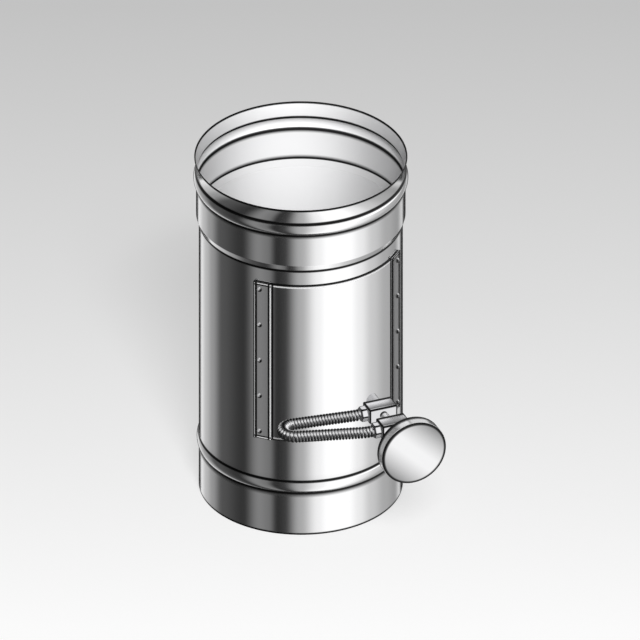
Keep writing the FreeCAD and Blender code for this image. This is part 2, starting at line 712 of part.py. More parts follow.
def draw_loop(sketch):
    """The rod's middle line: two straight ends, two slight kinks, two legs and the round bend.

    The legs are tangent to the bend and to the kinks, so the sketch finds where they meet.
    """
    grip = worth(sketch, "-(block_half_width - rod_grip)")
    straight = worth(sketch, "-rod_straight")
    kink = worth(sketch, "rod_kink")
    bend = worth(sketch, "loop_radius")
    centre = Vector(worth(sketch, "-loop_reach"), worth(sketch, LOOP_FRONT), 0)
    inner, outer = worth(sketch, INNER_LEG), worth(sketch, OUTER_LEG)

    def leg(height, side):
        """The touching point on the bend of the leg from one kink, and the leg's direction."""
        start = Vector(straight, height, 0)
        away = start - centre
        angle = math.atan2(away.y, away.x) - side * math.asin(bend / away.Length)
        along = Vector(math.cos(angle), math.sin(angle), 0)
        return centre + Vector(-along.y, along.x, 0) * side * bend, along

    inner_touch, inner_along = leg(inner, -1)
    outer_touch, outer_along = leg(outer, 1)
    kinks = []
    for height, along in ((inner, inner_along), (outer, outer_along)):
        turn = abs(math.atan2(along.y, along.x))
        middle = Vector(straight, height - kink, 0)
        end = middle + Vector(-math.sin(turn), math.cos(turn), 0) * kink
        kinks.append((middle, turn, Vector(straight, height, 0), end))
    up = Vector(0, 0, 1)
    quarter = math.pi / 2
    (inner_middle, inner_turn, inner_end, inner_knee) = kinks[0]
    (outer_middle, outer_turn, outer_end, outer_knee) = kinks[1]
    bend_from = math.atan2(outer_touch.y - centre.y, outer_touch.x - centre.x)
    bend_to = math.atan2(inner_touch.y - centre.y, inner_touch.x - centre.x)
    sketch.addGeometry(Part.LineSegment(Vector(grip, inner, 0), inner_end))
    inner_circle = Part.Circle(inner_middle, up, kink)
    sketch.addGeometry(Part.ArcOfCircle(inner_circle, quarter, quarter + inner_turn))
    sketch.addGeometry(Part.LineSegment(inner_knee, inner_touch))
    sketch.addGeometry(Part.ArcOfCircle(Part.Circle(centre, up, bend), bend_from, bend_to))
    sketch.addGeometry(Part.LineSegment(outer_touch, outer_knee))
    outer_circle = Part.Circle(outer_middle, up, kink)
    sketch.addGeometry(Part.ArcOfCircle(outer_circle, quarter, quarter + outer_turn))
    sketch.addGeometry(Part.LineSegment(outer_end, Vector(grip, outer, 0)))
    first, last, middle = 1, 2, 3
    meetings = [(0, last, 1, first), (1, last, 2, first), (2, last, 3, last)]
    meetings += [(3, first, 4, first), (4, last, 5, last), (5, first, 6, first)]
    for places in meetings:
        sketch.addConstraint(Sketcher.Constraint("Tangent", *places))
    for number, tip, knee, height in ((0, first, last, INNER_LEG), (6, last, first, OUTER_LEG)):
        sketch.addConstraint(Sketcher.Constraint("Horizontal", number))
        pin_down(sketch, "DistanceX", (number, tip), "-(block_half_width - rod_grip)")
        pin_down(sketch, "DistanceY", (number, tip), height)
        pin_down(sketch, "DistanceX", (number, knee), "-rod_straight")
    for number in (1, 5):
        pin_down(sketch, "Radius", (number,), "rod_kink")
    pin_down(sketch, "Radius", (3,), "loop_radius")
    pin_down(sketch, "DistanceX", (3, middle), "-loop_reach")
    pin_down(sketch, "DistanceY", (3, middle), LOOP_FRONT)


def make_handle_rod(doc):
    """The bent rod of the loop handle. Returns the sub-part and the sketch of its middle line."""
    body = make_body(doc, "handle_rod")
    spine = make_sketch(body, "XZ_Plane")
    draw_loop(spine)
    section = make_sketch(body, "YZ_Plane", ("0", "0", "-(block_half_width - rod_grip)"))
    draw_circle(section, "0", INNER_LEG, "rod_radius")
    doc.recompute()
    sweep = body.newObject("PartDesign::AdditivePipe", "handle_rod_sweep")
    sweep.Profile = section
    sweep.Spine = spine
    doc.recompute()
    return body, spine


def path_stations(edges, skip, count):
    """Even stations along a chain of edges, as point and direction, leaving out both ends."""
    lengths = [edge.Length for edge in edges]
    step = (sum(lengths) - 2 * skip) / count
    stations = []
    for number in range(count + 1):
        travel = skip + number * step
        for edge, length in zip(edges, lengths):
            if travel <= length or edge is edges[-1]:
                break
            travel -= length
        forward = edge.Orientation == "Forward"
        run = travel if forward else length - travel
        place = edge.getParameterByLength(min(max(run, 0.0), length))
        direction = edge.tangentAt(place) * (1 if forward else -1)
        stations.append((edge.valueAt(place), direction))
    return stations


def ring(centre, direction, radius, sides):
    """A closed many-sided ring round a point, square to a direction in the handle's plane."""
    up = Vector(0, 1, 0)
    across = up.cross(direction).normalize()
    turns = [2 * math.pi * number / sides for number in range(sides + 1)]
    corners = [centre + (across * math.cos(t) + up * math.sin(t)) * radius for t in turns]
    return Part.makePolygon(corners[:-1] + corners[:1])


def make_handle_coil(doc, spine, placement):
    """The close-wound wire on the rod, as one sleeve with a ridge for each turn.

    Rings stand square to the rod's middle line, in turn at the crest and the groove of a turn.
    The skin runs straight from each ring to the next, and the rod's room is taken out.
    """
    sheet = doc.Dims
    edges = Part.__sortEdges__(spine.Shape.Edges)
    start_gap = (spine.Shape.Vertexes[0].Point - edges[0].firstVertex(True).Point).Length
    if start_gap > sheet.rod_radius:
        edges = [edge.reversed() for edge in reversed(edges)]
    skip = sheet.rod_grip + sheet.nut_thickness
    covered = sum(edge.Length for edge in edges) - 2 * skip
    turns = int(round(covered / sheet.coil_pitch))
    groove = sheet.coil_radius - sheet.coil_groove
    rings = []
    for number, (point, direction) in enumerate(path_stations(edges, skip, 2 * turns)):
        radius = sheet.coil_radius if number % 2 else groove
        rings.append(ring(point, direction, radius, int(sheet.coil_sides)))
    sleeve = Part.makeLoft(rings, True, True)
    bore_ring = Part.makeCircle(sheet.rod_radius + sheet.coil_gap, edges[0].valueAt(0), Vector(1, 0, 0))
    path = Part.Wire(edges)
    bore = path.makePipeShell([Part.Wire(bore_ring)], True, False)
    coil = doc.addObject("Part::Feature", "handle_coil")
    coil.Label = "handle_coil"
    coil.Shape = sleeve.cut(bore)
    coil.Placement = placement
    return coil


def make_knob_neck(doc):
    """The turned spacer between the outer block and the knob's nut, waisted in the middle."""
    body = make_body(doc, "knob_neck")
    rear_end, front_end = f"{NECK} + neck_end_length", f"{KNOB_NUT} - neck_end_length"
    slope = "(neck_end_radius - neck_radius)"
    sketch = make_sketch(body, "XZ_Plane")
    draw_outline(
        sketch,
        [
            (SPINDLE_BORE, NECK),
            ("neck_end_radius", NECK),
            ("neck_end_radius", rear_end),
            ("neck_radius", f"{rear_end} + {slope}"),
            ("neck_radius", f"{front_end} - {slope}"),
            ("neck_end_radius", front_end),
            ("neck_end_radius", KNOB_NUT),
            (SPINDLE_BORE, KNOB_NUT),
        ],
    )
    revolve(body, sketch)
    return body


def make_knob_nut(doc):
    """The thin hexagon nut that locks the knob on the spindle."""
    body = make_body(doc, "knob_nut")
    sketch = make_sketch(body, "XY_Plane", ("0", "0", KNOB_NUT))
    draw_hexagon(sketch, "0", "0", "knob_nut_across")
    draw_circle(sketch, "0", "0", "spindle_radius + block_fit")
    pad(body, sketch, "knob_nut_thickness")
    return body


def make_knob(doc):
    """A thick disc with a slightly domed face, a softened edge and a blind bore behind."""
    body = make_body(doc, "knob")
    face_arc = dome("(knob_radius - knob_edge)", "knob_crown")
    bore = "spindle_radius + block_fit"
    sketch = make_sketch(body, "XZ_Plane")
    draw_outline(
        sketch,
        [
            ("0", f"{KNOB_BACK} + knob_bore_depth"),
            (bore, f"{KNOB_BACK} + knob_bore_depth"),
            (bore, KNOB_BACK),
            ("knob_radius - knob_edge", KNOB_BACK),
            ("knob_radius", f"{KNOB_BACK} + knob_edge"),
            ("knob_radius", f"{KNOB_FACE} - knob_edge", "knob_edge", "left"),
            ("knob_radius - knob_edge", KNOB_FACE, face_arc, "left"),
            ("0", f"{KNOB_FACE} + knob_crown"),
        ],
    )
    revolve(body, sketch)
    return body


def make_parts(doc):
    make_sheet(doc)
    parts = [make_pipe_body(doc), make_cover_plate(doc)]
    for word, side in (("left", -1), ("right", 1)):
        parts.append(make_strip(doc, f"{word}_strip", side))
        parts.append(make_strip_rivets(doc, f"{word}_rivets", side))
    parts.append(make_bush(doc, "front_bush", 1, PLATE_FACE))
    parts.append(make_bush(doc, "rear_bush", -1, "pipe_radius"))
    parts.append(make_spindle(doc))
    parts.append(make_damper_blade(doc))
    for word, end in (("front", 1), ("rear", -1)):
        parts.append(make_strap(doc, f"{word}_strap", end))
        parts.append(make_strap_rivets(doc, f"{word}_strap_rivets", end))
    parts.append(make_ring(doc, "thrust_washer", THRUST_WASHER, "washer_thickness"))
    parts.append(make_disc_spring(doc))
    parts.append(make_ring(doc, "block_washer", BLOCK_WASHER, "washer_thickness"))
    parts.append(make_ring(doc, "rear_washer", REAR_WASHER, "washer_thickness"))
    parts.append(make_retaining_pin(doc))
    for word, start, leg in (("inner", INNER_BLOCK, INNER_LEG), ("outer", OUTER_BLOCK, OUTER_LEG)):
        parts.append(make_block(doc, f"{word}_block", start, leg))
        parts.append(make_grub_screw(doc, f"{word}_grub_screw", leg))
        parts.append(make_rod_nut(doc, f"{word}_nut", leg))
    rod, spine = make_handle_rod(doc)
    parts.append(rod)
    parts.append(make_handle_coil(doc, spine, rod.Placement))
    parts.append(make_knob_neck(doc))
    parts.append(make_knob_nut(doc))
    parts.append(make_knob(doc))
    return parts


def check_and_export(doc, parts):
    """Stops on any failed object or bad shape, then writes one file for each sub-part."""
    doc.recompute()
    for item in doc.Objects:
        if "Invalid" in item.State or "Error" in item.State:
            raise RuntimeError(f"{item.Name} failed: {item.State}")
    for part in parts:
        if part.Shape.isNull() or not part.Shape.isValid() or not part.Shape.Solids:
            raise RuntimeError(f"{part.Label} has no sound shape")
    os.makedirs(OUT_FOLDER, exist_ok=True)
    for part in parts:
        part.Shape.exportStep(os.path.join(OUT_FOLDER, f"{part.Label}.step"))
        box = part.Shape.BoundBox
        corners = (box.XMin, box.YMin, box.ZMin, box.XMax, box.YMax, box.ZMax)
        print(part.Label, len(part.Shape.Solids), [round(value, 1) for value in corners])


document = FreeCAD.newDocument("stove_pipe_damper")
check_and_export(document, make_parts(document))
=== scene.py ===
"""Looks of a stainless stove pipe damper: a beaded flue section with a riveted cover plate, a
butterfly blade inside, and a wire-wound loop handle with clamp blocks and a round knob.

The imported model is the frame. Visible sheet, turned, milled and wound pieces are rebuilt here as
fine surfaces worked out with numpy, and every piece gets a procedural metal.
"""

import json
import math

import bmesh
import bpy
import numpy as np
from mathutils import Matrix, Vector


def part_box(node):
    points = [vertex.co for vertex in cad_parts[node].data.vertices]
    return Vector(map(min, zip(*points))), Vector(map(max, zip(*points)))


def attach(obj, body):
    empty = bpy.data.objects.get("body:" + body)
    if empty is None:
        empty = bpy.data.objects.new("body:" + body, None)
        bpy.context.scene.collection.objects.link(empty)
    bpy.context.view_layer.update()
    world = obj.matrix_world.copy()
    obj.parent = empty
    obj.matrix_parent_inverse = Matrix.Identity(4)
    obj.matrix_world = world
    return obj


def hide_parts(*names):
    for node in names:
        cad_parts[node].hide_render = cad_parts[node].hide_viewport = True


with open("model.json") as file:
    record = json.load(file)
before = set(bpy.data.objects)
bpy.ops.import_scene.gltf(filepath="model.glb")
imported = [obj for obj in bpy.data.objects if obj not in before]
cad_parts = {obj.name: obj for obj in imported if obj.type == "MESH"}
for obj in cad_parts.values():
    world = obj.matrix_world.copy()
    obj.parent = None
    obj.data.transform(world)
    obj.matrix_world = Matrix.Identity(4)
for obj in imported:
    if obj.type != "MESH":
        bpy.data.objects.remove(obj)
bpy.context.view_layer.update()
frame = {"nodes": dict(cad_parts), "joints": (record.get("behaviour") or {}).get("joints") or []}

MM = 0.001

# Camera and picture, as the drawing shows the part: square on, from the front left and above.
CAMERA_AZIMUTH = -22.3
CAMERA_ELEVATION = 31.0
CAMERA_DISTANCE = 2.0
PICTURE_WIDTH = 0.4703
AXIS_LEFT_OF_MIDDLE = 14.1 * MM
MIDDLE_HEIGHT = 139.3 * MM

# Fine dark lines of painted shade stand where sheet is creased and where edges meet, as on drawn
# metal. The points of a surface carry a mark for this painted shade, and one for what is paler:
# the pipe's dull inner side, and painted highlights elsewhere.
LINE_WIDTH = 1.15 * MM
PAINTED_SHADE_MARK = "painted_shade"
PALE_AND_HIGHLIGHT_MARK = "pale_finish_and_painted_highlight"

# The pipe's own sizes, which its box alone doesn't give.
PIPE_RADIUS = 75.0 * MM
SOCKET_RADIUS = 77.0 * MM
WALL = 0.8 * MM
BEAD_WIDTH = 9.4 * MM
LOWER_BEAD = 41.0 * MM
LOWER_BEAD_RISE = 1.5 * MM
JOGGLE_FOOT = 226.4 * MM
JOGGLE_TOP = 231.5 * MM
# How much painted shade darkens the joggle's slope on the inside.
JOGGLE_SHADE = 0.24
UPPER_BEAD = 262.5 * MM
UPPER_BEAD_RISE = 2.0 * MM
WAIST = 268.4 * MM
WAIST_DROP = 0.4 * MM
RIM_FLARE = 1.6 * MM
ROUND_STEPS = 192

# The riveted sheets on the front. Angles are in degrees from the front, and the painted shade on
# a rivet's head lies in degrees from straight up.
SHEET_GAP = 0.05 * MM
STRIP_INNER_ANGLE = 39.0
# How much painted shade darkens the right strip's flat all over.
STRIP_FLAT_SHADE = 0.5
HEM_ANGLE = 1.6
HEM_RISE = 0.5 * MM
RIVET_ANGLE = 45.6
RIVET_COUNT = 5
RIVET_HEAD = 1.95 * MM
RIVET_DOME = 1.2 * MM
RIVET_TAIL = 1.7 * MM
RIVET_SHADE_ANGLE = 135.0

# The loop handle, whose straight ends are measured to the left from the spindle's axis.
ROD_STRAIGHT = 19.0 * MM
ROD_KINK = 20.0 * MM
ROD_RADIUS = 2.5 * MM
LOOP_RADIUS = 9.05 * MM
LOOP_CLEARANCE = 1.3 * MM
COIL_RADIUS = 4.5 * MM
COIL_PITCH = 2.3 * MM
WIRE_RADIUS = 1.02 * MM

# The knob's disc, whose face is a shallow cap of a sphere.
KNOB_CROWN = 1.6 * MM
KNOB_BORE = 3.1 * MM
KNOB_BORE_DEPTH = 6 * MM
# How far the painted reflection darkens the face towards two opposite sides.
KNOB_PAINTED_REFLECTION = 0.72


# Mesh making


def grid_quads(rows, columns, wrap_rows=False, wrap_columns=True):
    """Corner numbers of a grid's quads, counted row by row; a wrapped side meets its start."""
    row, column = np.meshgrid(
        np.arange(rows - (not wrap_rows)), np.arange(columns - (not wrap_columns)), indexing="ij"
    )
    next_row, next_column = (row + 1) % rows, (column + 1) % columns
    corners = [(row, column), (row, next_column), (next_row, next_column), (next_row, column)]
    return np.stack([r * columns + c for r, c in corners], axis=-1).reshape(-1, 4)


def make_piece(name, parts, material, body, replaced=(), crease=35.0, marks=None):
    """One object from a list of (points, quads), welded, facing outwards and smooth but at creases.

    marks holds, by attribute name, one array for each part with a value from 0 to 1 per point.
    What turns with the damper isn't mirrored, which leaves the bright sheet behind it plain.
    """
    points, quads, first = [], [], 0
    for part_points, part_quads in parts:
        flat = part_points.reshape(-1, 3)
        points.append(flat)
        quads.append(part_quads + first)
        first += len(flat)
    points, quads = np.concatenate(points), np.concatenate(quads)
    mesh = bpy.data.meshes.new(name)
    mesh.vertices.add(len(points))
    mesh.vertices.foreach_set("co", points.astype(np.float32).ravel())
    mesh.loops.add(quads.size)
    mesh.loops.foreach_set("vertex_index", quads.astype(np.int32).ravel())
    mesh.polygons.add(len(quads))
    mesh.polygons.foreach_set("loop_start", np.arange(0, quads.size, 4, dtype=np.int32))
    mesh.update(calc_edges=True)
    for mark, values in (marks or {}).items():
        layer = mesh.attributes.new(mark, "FLOAT", "POINT")
        layer.data.foreach_set("value", np.concatenate([v.ravel() for v in values]).astype(np.float32))
    work = bmesh.new()
    work.from_mesh(mesh)
    bmesh.ops.remove_doubles(work, verts=work.verts, dist=1e-7)
    bmesh.ops.recalc_face_normals(work, faces=work.faces)
    work.to_mesh(mesh)
    work.free()
    mesh.validate()
    mesh.shade_smooth()
    mesh.set_sharp_from_angle(angle=math.radians(crease))
    mesh.materials.append(material)
    piece = bpy.data.objects.new(name, mesh)
    piece.visible_glossy = body == "pipe"
    bpy.context.scene.collection.objects.link(piece)
    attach(piece, body)
    if replaced:
        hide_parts(*replaced)
    return piece


def turned(profile, middle, axis, across, steps):
    """A profile of (radius, distance along the axis) carried round the axis through middle.

    Point = middle + axis * distance + radius * (across * cos(turn) + third * sin(turn)).
    """
    third = np.cross(axis, across)
    turn = np.linspace(0, 2 * np.pi, steps, endpoint=False)
    ring = np.cos(turn)[:, None] * across + np.sin(turn)[:, None] * third
    points = middle + profile[:, None, 1:] * axis + profile[:, None, :1] * ring
    return points, grid_quads(len(profile), steps)


def closed_turned(profile, middle, axis, across, steps):
    """The same, for a profile that is a closed loop, as a ring, tube or folded sheet has."""
    points, _ = turned(profile, middle, axis, across, steps)
    return points, grid_quads(len(profile), steps, wrap_rows=True)


def share_between(value, start, end):
    """0 at the start and before it, 1 at the end and beyond it, and straight in between."""
    return np.clip((value - start) / (end - start), 0, 1)


def softened(corners, radius, steps=4, closed=False):
    """A polyline whose corners are rounded: each is a short parabola between its two sides."""
    corners = np.asarray(corners, float)
    before, after = np.roll(corners, 1, axis=0), np.roll(corners, -1, axis=0)
    back, ahead = before - corners, after - corners
    back_length = np.linalg.norm(back, axis=1, keepdims=True)
    ahead_length = np.linalg.norm(ahead, axis=1, keepdims=True)
    start = corners + back / back_length * np.minimum(radius, back_length * 0.45)
    end = corners + ahead / ahead_length * np.minimum(radius, ahead_length * 0.45)
    t = np.linspace(0, 1, steps)[None, :, None]
    curve = (1 - t) ** 2 * start[:, None] + 2 * t * (1 - t) * corners[:, None] + t**2 * end[:, None]
    if not closed:
        middle = curve[1:-1].reshape(-1, corners.shape[1])
        return np.concatenate([corners[:1], middle, corners[-1:]])
    return curve.reshape(-1, corners.shape[1])


# The pipe


def bead_rise(height, middle, width, rise):
    """How far a rolled bead stands out: a circle's arc over the bead's width, nothing outside."""
    radius = (width**2 / 4 + rise**2) / (2 * rise)
    inside = np.clip(radius**2 - (height - middle) ** 2, 0, None)
    return np.clip(np.sqrt(inside) - (radius - rise), 0, None)


def pipe_radius_at(height, top):
    """The sheet's outside radius: tube, two beads, the joggle's slope and the flared rim."""
    joggle = share_between(height, JOGGLE_FOOT, JOGGLE_TOP)
    drop = WAIST_DROP * share_between(height, UPPER_BEAD + BEAD_WIDTH / 2, WAIST)
    flare = (RIM_FLARE + WAIST_DROP) * share_between(height, WAIST, top) ** 2
    radius = PIPE_RADIUS + (SOCKET_RADIUS - PIPE_RADIUS) * joggle - drop + flare
    radius = radius + bead_rise(height, LOWER_BEAD, BEAD_WIDTH, LOWER_BEAD_RISE)
    return radius + bead_rise(height, UPPER_BEAD, BEAD_WIDTH, UPPER_BEAD_RISE)


def line_at(place, lines, width=LINE_WIDTH):
    """How much of a dark line a place carries: 1 on a line, falling off steeply at its sides."""
    nearest = np.min(np.abs(np.asarray(place)[..., None] - np.asarray(lines)), axis=-1)
    return np.exp(-((nearest / width) ** 8))


def pipe_profile(top):
    """The sheet's closed section: outside up, over the rim, inside down and round the lower edge.

    The radius is averaged over a short height, which rounds the creases as rolling does. The
    lip stays short of the top by what its half round adds, which leans out with the flare. Each
    (foot, head, count) of the bands is a run of stations, closer where the sheet is bent. With
    the section come its painted shade lines at the creases and round its edges, a painted shade
    on the joggle's slope inside, and its pale share, which is the dull inside.
    """
    fine = 0.05 * MM
    crease = 0.4 * MM
    beside_bead = 6 * MM
    height = np.arange(-crease, top + crease, fine)
    window = np.hanning(int(crease / fine) + 2)[1:-1]
    padded = np.pad(pipe_radius_at(height, top), len(window) // 2, mode="edge")
    smooth = np.convolve(padded, window / window.sum(), mode="valid")[: len(height)]
    lip = top - 0.7 * WALL
    bands = [
        (0, 3 * MM, 8),
        (3 * MM, LOWER_BEAD - beside_bead, 10),
        (LOWER_BEAD - beside_bead, LOWER_BEAD + beside_bead, 56),
        (LOWER_BEAD + beside_bead, JOGGLE_FOOT - 2 * MM, 40),
        (JOGGLE_FOOT - 2 * MM, JOGGLE_TOP + 2 * MM, 44),
        (JOGGLE_TOP + 2 * MM, UPPER_BEAD - beside_bead, 10),
        (UPPER_BEAD - beside_bead, WAIST + 1 * MM, 60),
        (WAIST + 1 * MM, top - 3 * MM, 12),
        (top - 3 * MM, lip, 12),
    ]
    stations = np.concatenate([np.linspace(a, b, n, endpoint=False) for a, b, n in bands])
    stations = np.append(stations, lip)
    stations[0] = WALL / 2
    radius = np.interp(stations, height, smooth)
    slope = np.gradient(radius, stations)
    lean = np.stack([np.ones_like(slope), -slope], axis=1) / np.hypot(1, slope)[:, None]
    middle_line = np.stack([radius, stations], axis=1) - lean * WALL / 2
    outside, inside = middle_line + lean * WALL / 2, middle_line - lean * WALL / 2
    turn = np.linspace(0, np.pi, 8)[1:-1, None]
    over = middle_line[-1] + (lean[-1] * np.cos(turn) + np.array([0, 1]) * np.sin(turn)) * WALL / 2
    under = middle_line[0] + (-lean[0] * np.cos(turn) - np.array([0, 1]) * np.sin(turn)) * WALL / 2
    beads = np.array([LOWER_BEAD, UPPER_BEAD])
    clear = 0.6 * MM
    rim = top - clear
    heads = beads + BEAD_WIDTH / 2
    feet = beads - BEAD_WIDTH / 2 - clear
    line_outside = line_at(stations, [clear, *feet, JOGGLE_FOOT - clear, *heads, rim])
    line_inside = line_at(stations, [*feet, JOGGLE_TOP + 2 * clear, *(heads + clear), rim])
    sloping = (stations > JOGGLE_FOOT) & (stations < JOGGLE_TOP)
    # The joggle's slope on the inside carries painted shade.
    line_inside = np.maximum(line_inside, JOGGLE_SHADE * sloping)
    edge = np.ones(len(turn))
    line = np.concatenate([line_outside, edge, line_inside[::-1], edge])
    pale = np.concatenate([np.zeros(len(outside) + len(turn)), np.ones(len(inside)), 0 * edge])
    return np.concatenate([outside, over, inside[::-1], under]), line, pale


def make_pipe(metal):
    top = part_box("pipe_body")[1].z
    profile, line, pale = pipe_profile(top)
    up, across = np.array([0.0, 0.0, 1.0]), np.array([1.0, 0.0, 0.0])
    part = closed_turned(profile, np.zeros(3), up, across, ROUND_STEPS)
    marks = {
        PAINTED_SHADE_MARK: [np.repeat(line, ROUND_STEPS)],
        PALE_AND_HIGHLIGHT_MARK: [np.repeat(pale, ROUND_STEPS)],
    }
    return make_piece("pipe", [part], metal, "pipe", ["pipe_body"], marks=marks)


# The riveted sheets on the front


def curved_sheet(first, last, inner, outer_at, bottom, top, edge, columns):
    """A closed sheet that lies on the pipe, with softly rounded edges all round.

    Each of its rows is a loop of (angle, radius): out along the face, back along the inside.
    Towards the ends and the long edges the loop is drawn in by a quarter round of the edge,
    until face and back meet in a line. Returned with each point's distance from the ends and
    from the long edges.
    """
    turn = np.linspace(0, np.pi / 2, 5)
    thickness = outer_at(np.array([first]))[0] - inner
    near = np.linspace(0.3, 3.6, 14) * MM
    rise = np.concatenate([[0.0], edge * (1 - np.cos(turn)), edge + near])
    inset = np.concatenate([[thickness / 2], edge * (1 - np.sin(turn)), np.zeros(len(near))])
    plain = np.linspace(bottom + rise[-1], top - rise[-1], 26)[1:-1]
    height = np.concatenate([bottom + rise, plain, (top - rise)[::-1]])[:, None]
    draw = np.concatenate([inset, np.zeros(len(plain)), inset[::-1]])[:, None]
    begin, stop = first + draw / inner, last - draw / inner
    angle = begin + (stop - begin) * np.linspace(0, 1, columns)
    to_edge = np.minimum(angle - begin, stop - angle) * inner
    fall = edge - np.sqrt(np.clip(edge**2 - np.clip(edge - to_edge, 0, None) ** 2, 0, None))
    back = np.minimum(inner + draw + fall, inner + thickness / 2)
    face = np.maximum(outer_at(angle) - draw - fall, back)
    radius = np.concatenate([face, back[:, ::-1]], axis=1)
    angle = np.concatenate([angle, angle[:, ::-1]], axis=1)
    level = np.broadcast_to(height, angle.shape)
    points = np.stack([radius * np.sin(angle), -radius * np.cos(angle), level], axis=-1)
    to_end = np.minimum(level - bottom, top - level)
    to_edge = np.concatenate([to_edge, to_edge[:, ::-1]], axis=1)
    return (points, grid_quads(len(points), points.shape[1])), to_end, to_edge


def plate_half_angle():
    """Half the cover plate's width as an angle, from its box and its outside radius."""
    return math.asin(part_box("cover_plate")[1].x / (PIPE_RADIUS + SHEET_GAP + WALL))


def make_cover_plate(metal):
    """The plate: painted shade at its ends and beside the strips, a painted highlight line by each end.
    """
    low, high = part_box("cover_plate")
    inner = PIPE_RADIUS + SHEET_GAP
    half = plate_half_angle()
    edge, columns = 0.25 * MM, 340
    part, to_end, to_edge = curved_sheet(
        -half, half, inner, lambda a: np.full_like(a, inner + WALL), low.z, high.z, edge, columns
    )
    strip_width = (half - math.radians(STRIP_INNER_ANGLE)) * inner
    # A painted shadow runs on the plate beside each strip.
    beside_strip = line_at(to_edge, [strip_width + 0.9 * MM], 0.85 * MM)
    marks = {
        PAINTED_SHADE_MARK: [np.maximum(line_at(to_end, [0.0]), beside_strip)],
        PALE_AND_HIGHLIGHT_MARK: [0.9 * line_at(to_end, [1.9 * MM], 0.6 * MM)],
    }
    return make_piece(
        "front_plate", [part], metal, "pipe", ["cover_plate"], marks=marks
    )


def make_strip(side_name, side, metal):
    """A flat bar with a folded hem down each long edge, which stands out with a rounded top.

    Painted shade lines run along both sides of a hem and across the ends, and a pale painted
    highlight on each crest. On the left strip's hem next to the plate the pale line is at the very
    edge and the dark one behind it. The right strip's flat is darker all over, by painted shade.
    """
    node = f"{side_name}_strip"
    low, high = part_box(node)
    inner = PIPE_RADIUS + 2 * SHEET_GAP + WALL
    angles = sorted([side * math.radians(STRIP_INNER_ANGLE), side * plate_half_angle()])
    hem = math.radians(HEM_ANGLE)
    edge, columns = 0.3 * MM, 130

    def outer_at(angle):
        """Face radius: the bar's own, and more within a hem's width of an edge, for its round."""
        to_edge = np.minimum(angle - angles[0], angles[1] - angle)
        across = np.clip(to_edge / hem, 0, 1)
        return inner + WALL + HEM_RISE * np.clip(1 - (2 * across - 1) ** 6, 0, 1) * (across < 1)

    part, to_end, to_edge = curved_sheet(
        angles[0], angles[1], inner, outer_at, low.z, high.z, edge, columns
    )
    left = side < 0
    column = np.arange(to_edge.shape[1])
    on_face = column < columns
    inked = on_face | (left & (column == columns))
    plate_hem = left & on_face & (column > columns / 2)
    width = hem * inner
    hem_sides = line_at(to_edge, [0.3 * MM, width + 0.1 * MM], 0.85 * MM if left else 0.9 * MM)
    hem_sides = np.where(plate_hem, line_at(to_edge, [width * 0.78], 0.75 * MM), hem_sides)
    end_sides = line_at(to_end, [0.0, width], 0.6 * MM)
    hem_crest, end_crest = (line_at(to, [width * 0.58], 0.4 * MM) for to in (to_edge, to_end))
    hem_crest = np.where(plate_hem, 0.6 * line_at(to_edge, [width * 0.2], 0.45 * MM), hem_crest)
    within = (plate_hem | (to_edge > width / 3)) & (to_end > width / 3) & on_face
    flat = STRIP_FLAT_SHADE * (to_edge > width) * (side > 0)
    marks = {
        PAINTED_SHADE_MARK: [np.maximum(flat, np.maximum(hem_sides, end_sides)) * inked],
        PALE_AND_HIGHLIGHT_MARK: [np.maximum(hem_crest, end_crest) * within],
    }
    return make_piece(
        f"{side_name}_edge_strip", [part], metal, "pipe", [node], marks=marks
    )


def make_rivets(side_name, side, metal):
    """Domed heads on the strip and flat upset ends inside the pipe, along each rivet's own axis.

    A head carries painted shade on the side away from the light, and a pale painted highlight
    round its foot and on the other side.
    """
    node = f"{side_name}_rivets"
    low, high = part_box(node)
    face = PIPE_RADIUS + 2 * SHEET_GAP + 2 * WALL
    inside = PIPE_RADIUS - WALL
    angle = side * math.radians(RIVET_ANGLE)
    axis = np.array([math.sin(angle), -math.cos(angle), 0.0])
    swell = np.linspace(0, np.pi / 2, 13)
    head = np.stack([RIVET_HEAD * np.cos(swell), face + RIVET_DOME * np.sin(swell) ** 0.9], axis=1)
    tail_end, tail_bevel = inside - 0.75 * MM, inside - 0.55 * MM
    tail = [[0, tail_end], [1.5 * MM, tail_end], [RIVET_TAIL, tail_bevel], [RIVET_TAIL, inside]]
    profile = np.concatenate([tail, [[RIVET_HEAD, face]], head[1:]])
    heights = np.linspace(low.z + RIVET_HEAD, high.z - RIVET_HEAD, RIVET_COUNT)
    up = np.array([0.0, 0.0, 1.0])
    steps = 28
    parts = [turned(profile, up * height, axis, up, steps) for height in heights]
    turn = np.linspace(0, 2 * np.pi, steps, endpoint=False)
    shade_reach = 0.8 if side < 0 else 1.2
    shade_side = 1.6 * np.cos(turn - side * math.radians(RIVET_SHADE_ANGLE))
    away = np.clip(shade_side + shade_reach, 0, 1)
    outward = profile[:, 0] / RIVET_HEAD
    on_head = (profile[:, 1] > face - 0.1 * MM)[:, None]
    shade = line_at(outward, [0.7], 0.4)[:, None] * away * on_head
    lit = 0.6 * np.maximum(line_at(outward, [1.0], 0.15)[:, None], 1 - away) * on_head
    marks = {PAINTED_SHADE_MARK: [shade] * RIVET_COUNT, PALE_AND_HIGHLIGHT_MARK: [lit] * RIVET_COUNT}
    return make_piece(
        f"{side_name}_rivet_row", parts, metal, "pipe", [node], 50.0, marks
    )


# The loop handle


def spindle_place():
    """The spindle's axis: its distance to the right of the pipe's axis, and its height."""
    place = frame["joints"][0]["pos_m"]
    return place[0], place[2]


